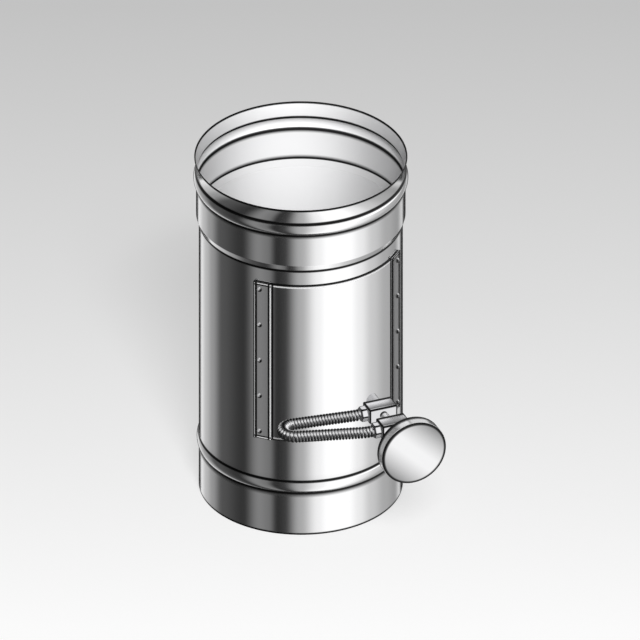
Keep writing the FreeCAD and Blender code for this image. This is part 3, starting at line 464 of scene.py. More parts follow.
def loop_path(count, skip):
    """Even stations on the rod's middle line but for its skipped ends, and how it runs there.

    Seen from above, two straight ends leave the blocks to the left, bend slightly, and run as
    straight legs that touch the round bend on its two sides, as tangents to circles.
    """
    spindle_x, _ = spindle_place()
    legs = [-sum(corner.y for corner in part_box(f"{word}_block")) / 2 for word in ("inner", "outer")]
    plate_face = PIPE_RADIUS + SHEET_GAP + WALL
    front = plate_face + LOOP_CLEARANCE + COIL_RADIUS + LOOP_RADIUS
    bend_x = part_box("handle_coil")[0].x + COIL_RADIUS + LOOP_RADIUS
    centre = np.array([bend_x, front])
    start_x = sum(corner.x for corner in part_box("inner_nut")) / 2
    knee_x = spindle_x - ROD_STRAIGHT
    pieces = []
    touches = []
    for reach, side in zip(legs, (-1.0, 1.0)):
        angle = 0.0
        knee = np.array([knee_x, reach])
        # The bend's tangent length goes with its angle, so a few rounds settle both.
        for _ in range(8):
            away = knee + np.array([-ROD_KINK * math.tan(abs(angle) / 2), 0]) - centre
            angle = math.atan2(away[1], away[0]) - side * math.asin(LOOP_RADIUS / np.hypot(*away))
        middle = np.array([knee_x, reach - ROD_KINK])
        turns = np.linspace(0, angle, 9)
        kink = middle + ROD_KINK * np.stack([-np.sin(turns), np.cos(turns)], axis=1)
        touches.append(centre + side * LOOP_RADIUS * np.array([-math.sin(angle), math.cos(angle)]))
        pieces.append(np.concatenate([[[start_x, reach]], kink]))
    bearings = [math.atan2(*(touch - centre)[::-1]) for touch in touches]
    around = np.linspace(bearings[0] % (2 * math.pi), bearings[1], 64)
    bend = centre + LOOP_RADIUS * np.stack([np.cos(around), np.sin(around)], axis=1)
    line = np.concatenate([pieces[0], bend, pieces[1][::-1]])
    steps = np.hypot(*np.diff(line, axis=0).T)
    travel = np.concatenate([[0], np.cumsum(steps)])
    stations = np.linspace(skip, travel[-1] - skip, count)
    place = np.stack([np.interp(stations, travel, line[:, k]) for k in (0, 1)], axis=1)
    way = np.gradient(place, axis=0)
    way /= np.linalg.norm(way, axis=1, keepdims=True)
    return place, way, stations


def winding(path, way, stations, height, turns, radius, wire, sides):
    """A round wire wound about a path: a helix about the path, and a circle about the helix.

    Helix = path + radius * (side * cos(turn) + up * sin(turn)), where side is square to the
    path in its own level. The wire's ring lies in the plane of the outward direction and of
    what is square to both that and the wire's run. With it come its two marks: painted shade
    between the turns, below and on top, and a pale painted highlight along a gleam above the
    front. Both go by the rise, which is sin(turn): 1 on top of the winding and -1 below it.
    """
    turn = 2 * np.pi * turns * (stations - stations[0]) / (stations[-1] - stations[0])
    level = np.stack([path[:, 0], -path[:, 1], np.full(len(path), height)], axis=1)
    side = np.stack([way[:, 1], way[:, 0], np.zeros(len(way))], axis=1)
    up = np.array([0.0, 0.0, 1.0])
    outward = side * np.cos(turn)[:, None] + up * np.sin(turn)[:, None]
    helix = level + radius * outward
    run = np.gradient(helix, axis=0)
    run /= np.linalg.norm(run, axis=1, keepdims=True)
    third = np.cross(run, outward)
    third /= np.linalg.norm(third, axis=1, keepdims=True)
    round_wire = np.linspace(0, 2 * np.pi, sides, endpoint=False)
    ring = outward[:, None] * np.cos(round_wire)[:, None] + third[:, None] * np.sin(round_wire)[:, None]
    points = helix[:, None] + wire * ring
    ends = [np.repeat(helix[:1, None], sides, axis=1), np.repeat(helix[-1:, None], sides, axis=1)]
    points = np.concatenate([ends[0], points, ends[1]])
    rise = np.sin(turn)
    gleam_rise, gleam_width = 0.72, 0.13
    # Painted shade below, on top and between the turns; a painted highlight along the gleam.
    under = 0.94 * share_between(rise, 0.62, 0.38) + 0.06 * share_between(rise, 0, -0.25)
    over = share_between(rise, 0.88, 0.96)
    shade = np.pad(np.maximum(under, over), 1, constant_values=1.0)[:, None]
    gleam = np.pad(np.exp(-(((rise - gleam_rise) / gleam_width) ** 2)), 1)[:, None]
    gap = np.clip(2.5 - 1.3 * gleam - 2.7 * np.cos(round_wire), 0, 1)
    return (points, grid_quads(len(points), sides)), np.maximum(gap, shade), gleam * (1 - gap)


def make_coil(metal):
    """The handle's winding, from nut to nut, with as many whole turns as fit between them."""
    _, height = spindle_place()
    stations_a_turn, sides = 26, 12
    nut_half = (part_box("inner_nut")[1].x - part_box("inner_nut")[0].x) / 2
    skip = nut_half + WIRE_RADIUS
    _, _, rough = loop_path(3, skip)
    turns = round((rough[-1] - rough[0]) / COIL_PITCH)
    path, way, stations = loop_path(turns * stations_a_turn + 1, skip)
    helix_radius = COIL_RADIUS - WIRE_RADIUS
    part, shaded, lit = winding(
        path, way, stations, height, turns, helix_radius, WIRE_RADIUS, sides
    )
    marks = {PAINTED_SHADE_MARK: [shaded], PALE_AND_HIGHLIGHT_MARK: [lit]}
    return make_piece(
        "handle_winding", [part], metal, "damper", ["handle_coil"], 60.0, marks
    )


# Turned and milled pieces on the spindle


def on_spindle():
    """Origin and directions of what is turned about the spindle: the axis points to the front."""
    x, z = spindle_place()
    return np.array([x, 0.0, z]), np.array([0.0, -1.0, 0.0]), np.array([1.0, 0.0, 0.0])


def reach_of(node):
    """A node's rear and front faces along the spindle, as distances in front of the pipe's axis."""
    low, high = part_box(node)
    return -high.y, -low.y


def make_knob(metal):
    """A thick disc: flat back, softened corners and a face domed as a shallow cap of a sphere.

    Face height = rim + crown - sphere + square root of (sphere^2 - radius^2). Painted shade lines
    stand at both corners, and a painted reflection darkens the face towards two opposite sides of
    its edge. The side is partly pale, as a painted highlight.
    """
    middle, axis, across = on_spindle()
    rear, front = reach_of("knob")
    low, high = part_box("knob")
    radius = (high.x - low.x) / 2
    rim = front - KNOB_CROWN
    floor = rear + KNOB_BORE_DEPTH
    steps = 128
    sphere = (radius**2 + KNOB_CROWN**2) / (2 * KNOB_CROWN)
    near = radius - np.array([1.0, 1.6, 2.0, 2.3, 2.6, 2.9, 3.2]) * MM
    out = np.concatenate([near, np.linspace(radius - 3.6 * MM, 0, 21)])
    face = np.stack([out, rim - sphere + KNOB_CROWN + np.sqrt(sphere**2 - out**2)], axis=1)
    bevel, soft = 0.4 * MM, 0.7 * MM
    outline = [(KNOB_BORE, floor), (KNOB_BORE, rear + 1.2 * MM), (KNOB_BORE + 2 * MM, rear)]
    outline += [(radius - bevel, rear)]
    outline += [(radius, place) for place in np.linspace(rear + bevel, rim - 0.8 * MM, 18)]
    outline += [(radius - 0.3 * MM, rim - 0.15 * MM), tuple(face[0])]
    profile = np.concatenate([[(0.0, floor)], softened(outline, soft, 5), face[1:]])
    part = turned(profile, middle, axis, across, steps)
    inwards = radius - profile[:, 0]
    to_front = np.maximum(inwards, 4.5 * (rim - profile[:, 1]))
    to_back = np.hypot(2.5 * inwards, profile[:, 1] - rear)
    corner = np.maximum(line_at(to_front, [0.0], 2.5 * MM), line_at(to_back, [0.0], 4.2 * MM))
    offset = part[0] - middle
    rising = np.abs(offset[..., 0] + offset[..., 2]) / (math.sqrt(2) * radius)
    on_face = profile[:, 1] > rim - 0.1 * MM
    # A painted reflection: the face darkens towards two opposite sides of its edge.
    cloud = KNOB_PAINTED_REFLECTION * share_between(rising, 0.15, 0.95) ** 1.2 * on_face[:, None]
    on_side = inwards < 0.1 * MM
    marks = {
        PAINTED_SHADE_MARK: [np.maximum(corner[:, None], cloud)],
        PALE_AND_HIGHLIGHT_MARK: [np.repeat(0.4 * on_side, steps)],
    }
    return make_piece("round_knob", [part], metal, "damper", ["knob"], 50.0, marks)


def make_spindle(metal):
    """A round bar with chamfered ends, and a milled flat where the blade sits.

    At the flat's two ends a full ring and a cut one share a place, which makes its steps. Painted
    shade lines stand where the bar meets the two blocks.
    """
    middle, axis, across = on_spindle()
    rear, front = reach_of("spindle")
    low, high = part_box("spindle")
    radius = (high.x - low.x) / 2
    flat_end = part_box("damper_blade")[1].y + 0.75 * MM
    flat = middle[2] - 2.0 * MM
    chamfer = 0.5 * MM
    steps = 64
    faces = [reach_of("inner_block")[1], reach_of("outer_block")[0]]
    between = np.linspace(faces[0] - 2 * MM, faces[1] + 2 * MM, 41)
    places = [rear, rear + chamfer, -flat_end, -flat_end, flat_end, flat_end, *between]
    places += [front - chamfer, front]
    radii = np.full(len(places), radius)
    radii[[0, -1]] -= chamfer
    profile = np.array([(0.0, rear), *zip(radii, places), (0.0, front)])
    points, quads = turned(profile, middle, axis, across, steps)
    cut = slice(4, 6)
    points[cut, :, 2] = np.maximum(points[cut, :, 2], flat)
    marks = {PAINTED_SHADE_MARK: [np.repeat(line_at(profile[:, 1], faces, 2.4 * MM), steps)]}
    part = (points, quads)
    return make_piece(
        "spindle_bar", [part], metal, "damper", ["spindle"], marks=marks
    )


def make_neck(metal):
    """The spacer behind the knob: two collars and a slightly waisted middle, with its bore."""
    middle, axis, across = on_spindle()
    rear, front = reach_of("knob_neck")
    collar, end, waist, bore = 4.0 * MM, 5.4 * MM, 4.2 * MM, 3.05 * MM
    outline = [
        (bore, rear),
        (end, rear),
        (end, rear + collar),
        (waist, rear + collar + 1.2 * MM),
        (waist, front - collar - 1.2 * MM),
        (end, front - collar),
        (end, front),
        (bore, front),
    ]
    profile = softened(outline, 0.4 * MM, 4, closed=True)
    part = closed_turned(profile, middle, axis, across, 64)
    return make_piece("knob_spacer", [part], metal, "damper", ["knob_neck"])


def rounded_box(low, high, edge, beside):
    """A box with evenly rounded edges: a rounded rectangle in X and Z, drawn in at its Y ends.

    Corner = half size less the edge's radius; point = corner + (radius - draw) * bearing. Its
    painted shade lines cover the rounded edges and fade out on the flats, within the width beside
    them; the rear line is wider. A fainter band of painted shade lies on the flats behind the front
    edge. The two ends are closed by an inset loop and a point, and on_end holds one share for each
    loop.
    """
    half = np.array([high.x - low.x, high.z - low.z]) / 2
    middle = np.array([high.x + low.x, high.z + low.z]) / 2
    turn = np.linspace(0, np.pi / 2, 7)
    bearing = (turn[[0, *range(7), 6]] + np.arange(4)[:, None] * np.pi / 2).ravel()
    slide = np.tile([-beside, *np.zeros(7), beside], 4)[:, None]
    around = np.stack([np.cos(bearing), np.sin(bearing)], axis=1)
    along = slide * np.stack([-np.sin(bearing), np.cos(bearing)], axis=1)
    corner = np.repeat([[1, 1], [-1, 1], [-1, -1], [1, -1]], 9, axis=0) * (half - edge)
    rise, draw = edge * (1 - np.cos(turn)), edge * (1 - np.sin(turn))
    band = low.y + edge + np.array([0.6, 1.3, 3.5, 7.5]) * MM
    rear = high.y - edge - np.array([2.7, 2.1]) * MM
    y = np.concatenate([low.y + rise, band, rear, (high.y - rise)[::-1]])
    drawn = np.concatenate([draw, np.zeros(6), draw[::-1]])[:, None, None]
    loops = middle + corner + along + around * (edge - drawn)
    points = np.insert(loops, 1, np.broadcast_to(y[:, None], loops.shape[:2]), axis=2)
    ends = []
    for place in (low.y, high.y):
        inset = middle + corner * (1 - beside / (half - edge)) + along + around * edge / 9
        ends.append(np.insert(inset, 1, place, axis=1)[None])
        ends.append(np.tile([middle[0], place, middle[1]], (1, len(bearing), 1)))
    points = np.concatenate([ends[1], ends[0], points, ends[2], ends[3]])
    on_corner = np.tile([0.0, *np.ones(7), 0.0], 4)
    on_end = np.array([0.12, 0.12, *np.ones(7), 0, 0.75, 0.5, 0, 0, 1, *np.ones(7), 0, 0])
    on_side = np.array([0, 0, *np.ones(20), 0, 0])
    line = np.maximum(on_end[:, None], on_side[:, None] * on_corner)
    return (points, grid_quads(len(points), len(bearing))), line


def make_block(word, metal):
    """One of the two clamp blocks, in the space of its solid."""
    node = f"{word}_block"
    low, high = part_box(node)
    part, line = rounded_box(low, high, 0.9 * MM, 0.6 * MM)
    name, marks = f"{word}_clamp_block", {PAINTED_SHADE_MARK: [line]}
    return make_piece(name, [part], metal, "damper", [node], 40.0, marks)


def hexagon_nut(middle, axis, across, start, end, width, bore):
    """A nut: the hexagon's radius runs with the turn, and a cone takes the corners off both ends.

    Radius = half width / cos(turn from the middle of the nearest flat), and at most the limit of
    its ring. Painted shade lines stand at the nut's upright corners, ends and bore.
    """
    turn = np.linspace(0, 2 * np.pi, 72, endpoint=False)
    from_flat = (turn + np.pi / 6) % (np.pi / 3) - np.pi / 6
    hexagon = width / 2 / np.cos(from_flat)
    rounded = np.minimum(hexagon, width / math.sqrt(3) * 0.985)
    third = np.cross(axis, across)
    ring = np.cos(turn)[:, None] * across + np.sin(turn)[:, None] * third
    chamfer = 0.9 * MM
    end_limit, edge_limit = width / 2 * 0.97, width / 2 * 1.04
    rows = [
        (start, end_limit),
        (start + chamfer * 0.35, edge_limit),
        (start + chamfer, width),
        (end - chamfer, width),
        (end - chamfer * 0.35, edge_limit),
        (end, end_limit),
        (end, bore),
        (start, bore),
    ]
    points = np.array(
        [middle + axis * place + ring * np.minimum(rounded, limit)[:, None] for place, limit in rows]
    )
    corner = share_between(np.abs(from_flat), math.radians(20), math.radians(25))
    row_line = np.array([0.8, 1.0, 0, 0, 1.0, 0.8, 1.0, 1.0])[:, None]
    corner_line = corner * np.array([0, 0.5, 1, 1, 0.5, 0, 0, 0])[:, None]
    part = (points, grid_quads(len(points), len(turn), wrap_rows=True))
    return part, np.maximum(corner_line, row_line)


def make_nuts(metal):
    """The two nuts on the loop's straight ends, and the thin one behind the knob."""
    left, up = np.array([-1.0, 0.0, 0.0]), np.array([0.0, 0.0, 1.0])
    rod_bore, spindle_bore = ROD_RADIUS + 0.05 * MM, 3.02 * MM
    nuts = []
    for word in ("inner", "outer"):
        low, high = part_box(f"{word}_nut")
        middle = np.array([0.0, (low.y + high.y) / 2, (low.z + high.z) / 2])
        nut = hexagon_nut(middle, left, up, -high.x, -low.x, high.z - low.z, rod_bore)
        nuts.append((f"{word}_lock_nut", f"{word}_nut", nut))
    low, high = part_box("knob_nut")
    nut = hexagon_nut(*on_spindle(), -high.y, -low.y, high.x - low.x, spindle_bore)
    nuts.append(("knob_lock_nut", "knob_nut", nut))
    for name, solid, (part, line) in nuts:
        make_piece(name, [part], metal, "damper", [solid], 25.0, {PAINTED_SHADE_MARK: [line]})


# Metals

# What is left of a metal's colour under painted shade, and how much rougher it is there.
PAINTED_SHADE_COLOUR = 0.02
LINE_DULLNESS = 0.25


def node(tree, kind, **settings):
    """A shader node with its settings; those of sockets are given by name or by number."""
    made = tree.nodes.new(kind)
    sockets = settings.pop("sockets", {})
    for name, value in settings.items():
        setattr(made, name, value)
    for name, value in sockets.items():
        made.inputs[name].default_value = value
    return made


def from_mark(tree, mark, low, high):
    """A number that goes from low to high as the surface's own mark goes from 0 to 1."""
    read = node(tree, "ShaderNodeAttribute", attribute_name=mark)
    spread = node(tree, "ShaderNodeMapRange")
    spread.inputs["To Min"].default_value = low
    spread.inputs["To Max"].default_value = high
    tree.links.new(read.outputs["Fac"], spread.inputs["Value"])
    return spread.outputs["Result"]


def metal_material(name, colour, roughness, grain, spread=0.03, tint=0.04, pale=None):
    """A metal with a fine grain: stretched noise shifts its roughness and a cloud its colour.

    grain is the noise's scale along X, Y and Z; a small number draws it out along that axis.
    Where the surface's painted shade mark says so it is dark and dull. pale is (colour, metallic,
    roughness) for where its pale mark says so: the pipe's dull inner side, and painted highlights
    that the lamps light on crests, edges and rivet heads.
    """
    material = bpy.data.materials.new(name)
    material.use_nodes = True
    tree = material.node_tree
    tree.nodes.clear()
    link = tree.links.new
    out = node(tree, "ShaderNodeOutputMaterial")
    shader = node(tree, "ShaderNodeBsdfPrincipled", sockets={"Metallic": 1.0})
    place = node(tree, "ShaderNodeTexCoord")
    stretch = node(tree, "ShaderNodeMapping", sockets={"Scale": grain})
    fine = node(tree, "ShaderNodeTexNoise", sockets={"Scale": 1.0, "Detail": 5.0, "Roughness": 0.6})
    cloud = node(tree, "ShaderNodeTexNoise", sockets={"Scale": 14.0, "Detail": 3.0})
    shade = node(tree, "ShaderNodeMapRange")
    shade.inputs["To Min"].default_value = 1.0 - tint
    shade.inputs["To Max"].default_value = 1.0
    rough = node(tree, "ShaderNodeMapRange")
    rough.inputs["To Min"].default_value = roughness - spread
    rough.inputs["To Max"].default_value = roughness + spread
    duller = node(tree, "ShaderNodeMath", operation="ADD", use_clamp=True)
    paint = node(tree, "ShaderNodeMix", data_type="RGBA", blend_type="MULTIPLY")
    shade_multiply = node(tree, "ShaderNodeMix", data_type="RGBA", blend_type="MULTIPLY")
    for mix in (paint, shade_multiply):
        mix.inputs["Factor"].default_value = 1.0
    paint.inputs[6].default_value = (*colour, 1.0)
    link(place.outputs["Object"], stretch.inputs["Vector"])
    link(stretch.outputs["Vector"], fine.inputs["Vector"])
    link(place.outputs["Object"], cloud.inputs["Vector"])
    link(fine.outputs["Fac"], rough.inputs["Value"])
    link(cloud.outputs["Fac"], shade.inputs["Value"])
    link(shade.outputs["Result"], paint.inputs[7])
    link(paint.outputs[2], shade_multiply.inputs[6])
    link(from_mark(tree, PAINTED_SHADE_MARK, 1.0, PAINTED_SHADE_COLOUR), shade_multiply.inputs[7])
    link(rough.outputs["Result"], duller.inputs[0])
    link(from_mark(tree, PAINTED_SHADE_MARK, 0.0, LINE_DULLNESS), duller.inputs[1])
    link(duller.outputs["Value"], shader.inputs["Roughness"])
    link(shade_multiply.outputs[2], shader.inputs["Base Color"])
    link(from_mark(tree, PAINTED_SHADE_MARK, 0.5, 0.0), shader.inputs["Specular IOR Level"])
    if pale:
        pale_colour, metallic, pale_roughness = pale
        share = node(tree, "ShaderNodeAttribute", attribute_name=PALE_AND_HIGHLIGHT_MARK)
        blend = node(tree, "ShaderNodeMix", data_type="RGBA")
        blend.inputs[6].default_value = (*colour, 1.0)
        blend.inputs[7].default_value = (*pale_colour, 1.0)
        link(share.outputs["Fac"], blend.inputs["Factor"])
        link(blend.outputs[2], paint.inputs[6])
        link(from_mark(tree, PALE_AND_HIGHLIGHT_MARK, 1.0, metallic), shader.inputs["Metallic"])
        rougher = node(tree, "ShaderNodeMath", operation="ADD", use_clamp=True)
        link(duller.outputs["Value"], rougher.inputs[0])
        link(from_mark(tree, PALE_AND_HIGHLIGHT_MARK, 0.0, pale_roughness - roughness), rougher.inputs[1])
        link(rougher.outputs["Value"], shader.inputs["Roughness"])
    link(shader.outputs["BSDF"], out.inputs["Surface"])
    return material


# Studio

# Panels of light round the part, as the metal mirrors them: degrees to the right of the
# camera, and strength. Dark flags stand between them, which gives the pipe its upright bands,
# and behind it, which draws its outline.
PANELS = [
    (-180, 0.02),
    (-160, 0.04),
    (-153, 0.95),
    (-134, 0.58),
    (-120, 0.37),
    (-101, 0.1),
    (-68, 0.04),
    (-48, 0.27),
    (-37, 0.22),
    (-27, 0.03),
    (-18, 0.05),
    (0, 0.5),
    (20, 1.12),
    (30, 1.3),
    (55, 1.3),
    (70, 1.05),
    (87, 0.72),
    (110, 0.49),
    (134, 0.38),
    (149, 0.75),
    (157, 0.04),
    (180, 0.02),
]
# At eye level the surroundings are the same but for a light wall at the back, and the ceiling
# is light over the back and the left, and dark over the front right.
FRONT_PANELS = PANELS[5:15]
EYE_LEVEL = [(-180, 0.85), (-150, 0.8), (-120, 0.3), *FRONT_PANELS, (85, 1.5), (180, 0.85)]
CEILING = [(-180, 0.85), (-35, 0.85), (-12, 0.4), (8, 0.06), (120, 0.06), (150, 0.85), (180, 0.85)]
NADIR_STRENGTH = 0.05
AMBIENT_STRENGTH = 0.12

# One ring blends into the next between two heights, given as the sine of the angle above level.
NADIR_EDGE = (-0.985, -0.95)
EYE_LEVEL_EDGE = (-0.06, 0.06)
CEILING_EDGE = (0.64, 0.77)

# The background's greys from far to near, as distance towards the camera and linear strength.
BACKGROUND = [(-0.68, 0.565), (-0.54, 0.626), (-0.26, 0.753), (0.02, 0.898), (0.21, 1.0)]
FLOOR_HALF_WIDTH = 6.0
FLOOR_MATT_SHARE = 0.25


def grey(strength):
    return (strength, strength, strength, 1.0)


def fill_ramp(ramp, stops):
    """Puts (position, strength) stops into a colour ramp."""
    elements = ramp.color_ramp.elements
    while len(elements) > 1:
        elements.remove(elements[-1])
    for number, (position, strength) in enumerate(stops):
        element = elements[0] if number == 0 else elements.new(position)
        element.position = position
        element.color = grey(strength)


def smooth_step(tree, value, low, high):
    """A node that rises smoothly from 0 to 1 as the value goes from low to high."""
    step = node(tree, "ShaderNodeMapRange", interpolation_type="SMOOTHSTEP")
    step.inputs["From Min"].default_value = low
    step.inputs["From Max"].default_value = high
    tree.links.new(value, step.inputs["Value"])
    return step.outputs["Result"]


def blend_colours(tree, share, first, second):
    """A mix of two colours or sockets, by a share socket."""
    mix = node(tree, "ShaderNodeMix", data_type="RGBA")
    tree.links.new(share, mix.inputs["Factor"])
    for socket, value in ((mix.inputs[6], first), (mix.inputs[7], second)):
        if isinstance(value, float):
            socket.default_value = grey(value)
        else:
            tree.links.new(value, socket)
    return mix.outputs[2]


def make_world():
    """What the metal mirrors: panels round the part at three heights, over a dark ground.

    Other light from the world is an even grey, and the camera sees the background's far grey.
    """
    world = bpy.data.worlds.new("studio")
    bpy.context.scene.world = world
    world.use_nodes = True
    tree = world.node_tree
    tree.nodes.clear()
    link = tree.links.new
    place = node(tree, "ShaderNodeTexCoord")
    turn = node(tree, "ShaderNodeVectorRotate", rotation_type="Z_AXIS")
    turn.inputs["Angle"].default_value = -math.radians(CAMERA_AZIMUTH)
    split = node(tree, "ShaderNodeSeparateXYZ")
    flip = node(tree, "ShaderNodeMath", operation="MULTIPLY")
    flip.inputs[1].default_value = -1.0
    angle = node(tree, "ShaderNodeMath", operation="ARCTAN2")
    round_trip = node(tree, "ShaderNodeMapRange")
    round_trip.inputs["From Min"].default_value = -math.pi
    round_trip.inputs["From Max"].default_value = math.pi
    rings = []
    for stops in (PANELS, EYE_LEVEL, CEILING):
        ramp = node(tree, "ShaderNodeValToRGB")
        ramp.color_ramp.interpolation = "EASE"
        fill_ramp(ramp, [((degrees + 180) / 360, strength) for degrees, strength in stops])
        link(round_trip.outputs["Result"], ramp.inputs["Fac"])
        rings.append(ramp.outputs["Color"])
    link(place.outputs["Generated"], turn.inputs["Vector"])
    link(turn.outputs["Vector"], split.inputs["Vector"])
    link(split.outputs["Y"], flip.inputs[0])
    link(split.outputs["X"], angle.inputs[0])
    link(flip.outputs["Value"], angle.inputs[1])
    link(angle.outputs["Value"], round_trip.inputs["Value"])
    height = split.outputs["Z"]
    low, eye_level, ceiling = rings
    low = blend_colours(tree, smooth_step(tree, height, *NADIR_EDGE), NADIR_STRENGTH, low)
    middle = blend_colours(tree, smooth_step(tree, height, *EYE_LEVEL_EDGE), low, eye_level)
    mirrored = blend_colours(tree, smooth_step(tree, height, *CEILING_EDGE), middle, ceiling)
    ray = node(tree, "ShaderNodeLightPath")
    even = blend_colours(tree, ray.outputs["Is Camera Ray"], AMBIENT_STRENGTH, BACKGROUND[0][1])
    seen = blend_colours(tree, ray.outputs["Is Glossy Ray"], even, mirrored)
    light = node(tree, "ShaderNodeBackground", sockets={"Strength": 1.0})
    out = node(tree, "ShaderNodeOutputWorld")
    link(seen, light.inputs["Color"])
    link(light.outputs["Background"], out.inputs["Surface"])


def towards(azimuth, elevation):
    """The direction to a place that stands this far round from the front and this high."""
    level, rise = math.radians(azimuth), math.radians(elevation)
    return Vector(
        (math.sin(level) * math.cos(rise), -math.cos(level) * math.cos(rise), math.sin(rise))
    )


def make_floor():
    """A wide pale floor whose grey brightens towards the camera. The metal doesn't mirror it.

    It glows with its grey for the most part, and its matt share takes the part's shadow.
    """
    half = FLOOR_HALF_WIDTH
    corners = [(-half, -half, 0), (half, -half, 0), (half, half, 0), (-half, half, 0)]
    mesh = bpy.data.meshes.new("floor")
    mesh.from_pydata(corners, [], [(0, 1, 2, 3)])
    floor = bpy.data.objects.new("floor", mesh)
    bpy.context.scene.collection.objects.link(floor)
    material = bpy.data.materials.new("pale_floor")
    material.use_nodes = True
    tree = material.node_tree
    tree.nodes.clear()
    link = tree.links.new
    place = node(tree, "ShaderNodeTexCoord")
    nearness = node(tree, "ShaderNodeVectorMath", operation="DOT_PRODUCT")
    nearness.inputs[1].default_value = towards(CAMERA_AZIMUTH, 0)
    first, last = BACKGROUND[0][0], BACKGROUND[-1][0]
    along = node(tree, "ShaderNodeMapRange")
    along.inputs["From Min"].default_value = first
    along.inputs["From Max"].default_value = last
    ramp = node(tree, "ShaderNodeValToRGB")
    fill_ramp(ramp, [((reach - first) / (last - first), strength) for reach, strength in BACKGROUND])
    glow = node(tree, "ShaderNodeEmission")
    matt = node(tree, "ShaderNodeBsdfDiffuse")
    share = node(tree, "ShaderNodeMixShader", sockets={"Fac": FLOOR_MATT_SHARE})
    out = node(tree, "ShaderNodeOutputMaterial")
    link(place.outputs["Object"], nearness.inputs[0])
    link(nearness.outputs["Value"], along.inputs["Value"])
    link(along.outputs["Result"], ramp.inputs["Fac"])
    link(ramp.outputs["Color"], glow.inputs["Color"])
    link(ramp.outputs["Color"], matt.inputs["Color"])
    link(glow.outputs["Emission"], share.inputs[1])
    link(matt.outputs["BSDF"], share.inputs[2])
    link(share.outputs["Shader"], out.inputs["Surface"])
    mesh.materials.append(material)
    floor.visible_glossy = False


def set_up(name, data, back, location=(0, 0, 0)):
    """An object for a lamp or camera at a place, with its back in the direction given."""
    holder = bpy.data.objects.new(name, data)
    holder.location = location
    holder.rotation_euler = back.to_track_quat("Z", "Y").to_euler()
    bpy.context.scene.collection.objects.link(holder)
    return holder


def make_sun(azimuth, elevation, strength, spread):
    """One soft sun, seen by what is dull; the metal mirrors the panels alone."""
    lamp = bpy.data.lights.new("sun", "SUN")
    lamp.energy = strength
    lamp.angle = math.radians(spread)
    set_up("sun", lamp, towards(azimuth, elevation)).visible_glossy = False


def make_mouth_lamp(azimuth, elevation, distance, power, cone):
    """A soft narrow lamp into the pipe's mouth, which lights the middle of the far inner wall."""
    lamp = bpy.data.lights.new("mouth_lamp", "SPOT")
    lamp.energy = power
    lamp.spot_size = math.radians(cone)
    lamp.spot_blend = 1.0
    lamp.shadow_soft_size = 0.03
    aim = Vector((0, 0, JOGGLE_TOP)) - towards(azimuth, 0) * PIPE_RADIUS
    back = towards(azimuth, elevation)
    set_up("mouth_lamp", lamp, back, aim + back * distance).visible_glossy = False


def make_camera():
    """The drawing's view: parallel, with the pipe's axis a little left of the picture's middle."""
    camera = bpy.data.cameras.new("camera")
    camera.type = "ORTHO"
    camera.ortho_scale = PICTURE_WIDTH
    camera.clip_start, camera.clip_end = 0.01, 20.0
    right = towards(CAMERA_AZIMUTH + 90, 0)
    back = towards(CAMERA_AZIMUTH, CAMERA_ELEVATION)
    aim = Vector((0, 0, MIDDLE_HEIGHT)) + right * AXIS_LEFT_OF_MIDDLE
    bpy.context.scene.camera = set_up("camera", camera, back, aim + back * CAMERA_DISTANCE)


def dress_cad_nodes(metals, unmirrored):
    """Gives each CAD node that still shows the metal of its kind, in its own material slots.

    The unmirrored ones, like the handle's own pieces, leave the bright sheet behind them plain.
    """
    for name, material in metals.items():
        piece = frame["nodes"][name]
        piece.data.materials.clear()
        piece.data.materials.append(material)
        piece.visible_glossy = name not in unmirrored


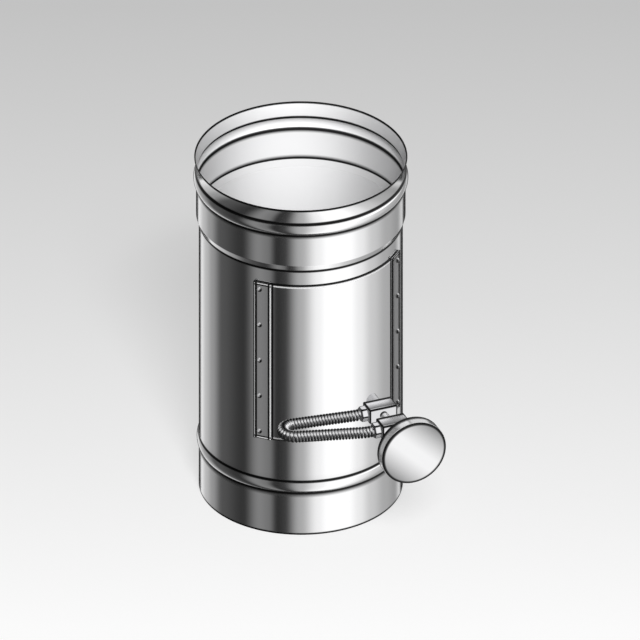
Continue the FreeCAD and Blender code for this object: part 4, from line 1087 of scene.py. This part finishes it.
def main():
    """Metals, pieces, and the studio round them."""
    # pale is a dull finish that the lamps light, for painted highlights; dull is the pipe's inner
    # finish.
    pale = ((0.8, 0.8, 0.805), 0.35, 0.3)
    dull = ((0.55, 0.55, 0.555), 0.1, 0.4)
    sheet = metal_material("rolled_sheet", (0.8, 0.8, 0.805), 0.12, (900, 900, 8), pale=dull)
    plate = metal_material("plate_sheet", (0.82, 0.82, 0.825), 0.12, (900, 900, 8), pale=pale)
    strip = metal_material("strip_sheet", (0.8, 0.8, 0.805), 0.2, (900, 900, 60), pale=pale)
    rivet = metal_material("rivet_metal", (0.75, 0.75, 0.76), 0.2, (300, 300, 300), pale=pale)
    lathe = metal_material("turned_metal", (0.7, 0.7, 0.71), 0.22, (120, 1500, 120))
    bearing = metal_material("bearing_metal", (0.5, 0.5, 0.51), 0.25, (120, 1500, 120))
    block = metal_material("milled_metal", (0.68, 0.68, 0.69), 0.25, (900, 60, 200))
    wire = metal_material("wound_wire", (0.84, 0.84, 0.85), 0.15, (400, 400, 400), pale=pale)
    nut = metal_material("nut_metal", (0.66, 0.66, 0.67), 0.22, (300, 300, 300))
    chrome = metal_material("polished_metal", (0.71, 0.71, 0.715), 0.08, (40, 40, 40), 0.02, pale=pale)
    dark = metal_material("spring_metal", (0.45, 0.45, 0.46), 0.3, (300, 300, 300))
    inside = metal_material("blade_sheet", (0.85, 0.85, 0.855), 0.3, (900, 8, 8))

    make_pipe(sheet)
    make_cover_plate(plate)
    for side_name, side in (("left", -1), ("right", 1)):
        make_strip(side_name, side, strip)
        make_rivets(side_name, side, rivet)
    make_coil(wire)
    make_knob(chrome)
    make_spindle(lathe)
    make_neck(lathe)
    for word in ("inner", "outer"):
        make_block(word, block)
    make_nuts(nut)
    shown = {
        # The rod shows only between the winding's turns, where its dark metal serves as painted shade.
        "handle_rod": dark,
        "front_bush": bearing,
        "rear_bush": bearing,
        "thrust_washer": bearing,
        "block_washer": bearing,
        "rear_washer": lathe,
        "disc_spring": dark,
        "retaining_pin": dark,
        "inner_grub_screw": dark,
        "outer_grub_screw": dark,
        "damper_blade": inside,
        "front_strap": inside,
        "rear_strap": inside,
        "front_strap_rivets": rivet,
        "rear_strap_rivets": rivet,
    }
    unmirrored = ["handle_rod", "front_bush", "thrust_washer", "block_washer", "disc_spring"]
    unmirrored += ["inner_grub_screw", "outer_grub_screw"]
    dress_cad_nodes(shown, unmirrored)

    make_world()
    make_floor()
    make_sun(azimuth=-14, elevation=42, strength=3.4, spread=15)
    make_mouth_lamp(azimuth=-16, elevation=45, distance=0.6, power=21, cone=14)
    make_camera()
    bpy.context.scene.view_settings.view_transform = "Standard"


main()
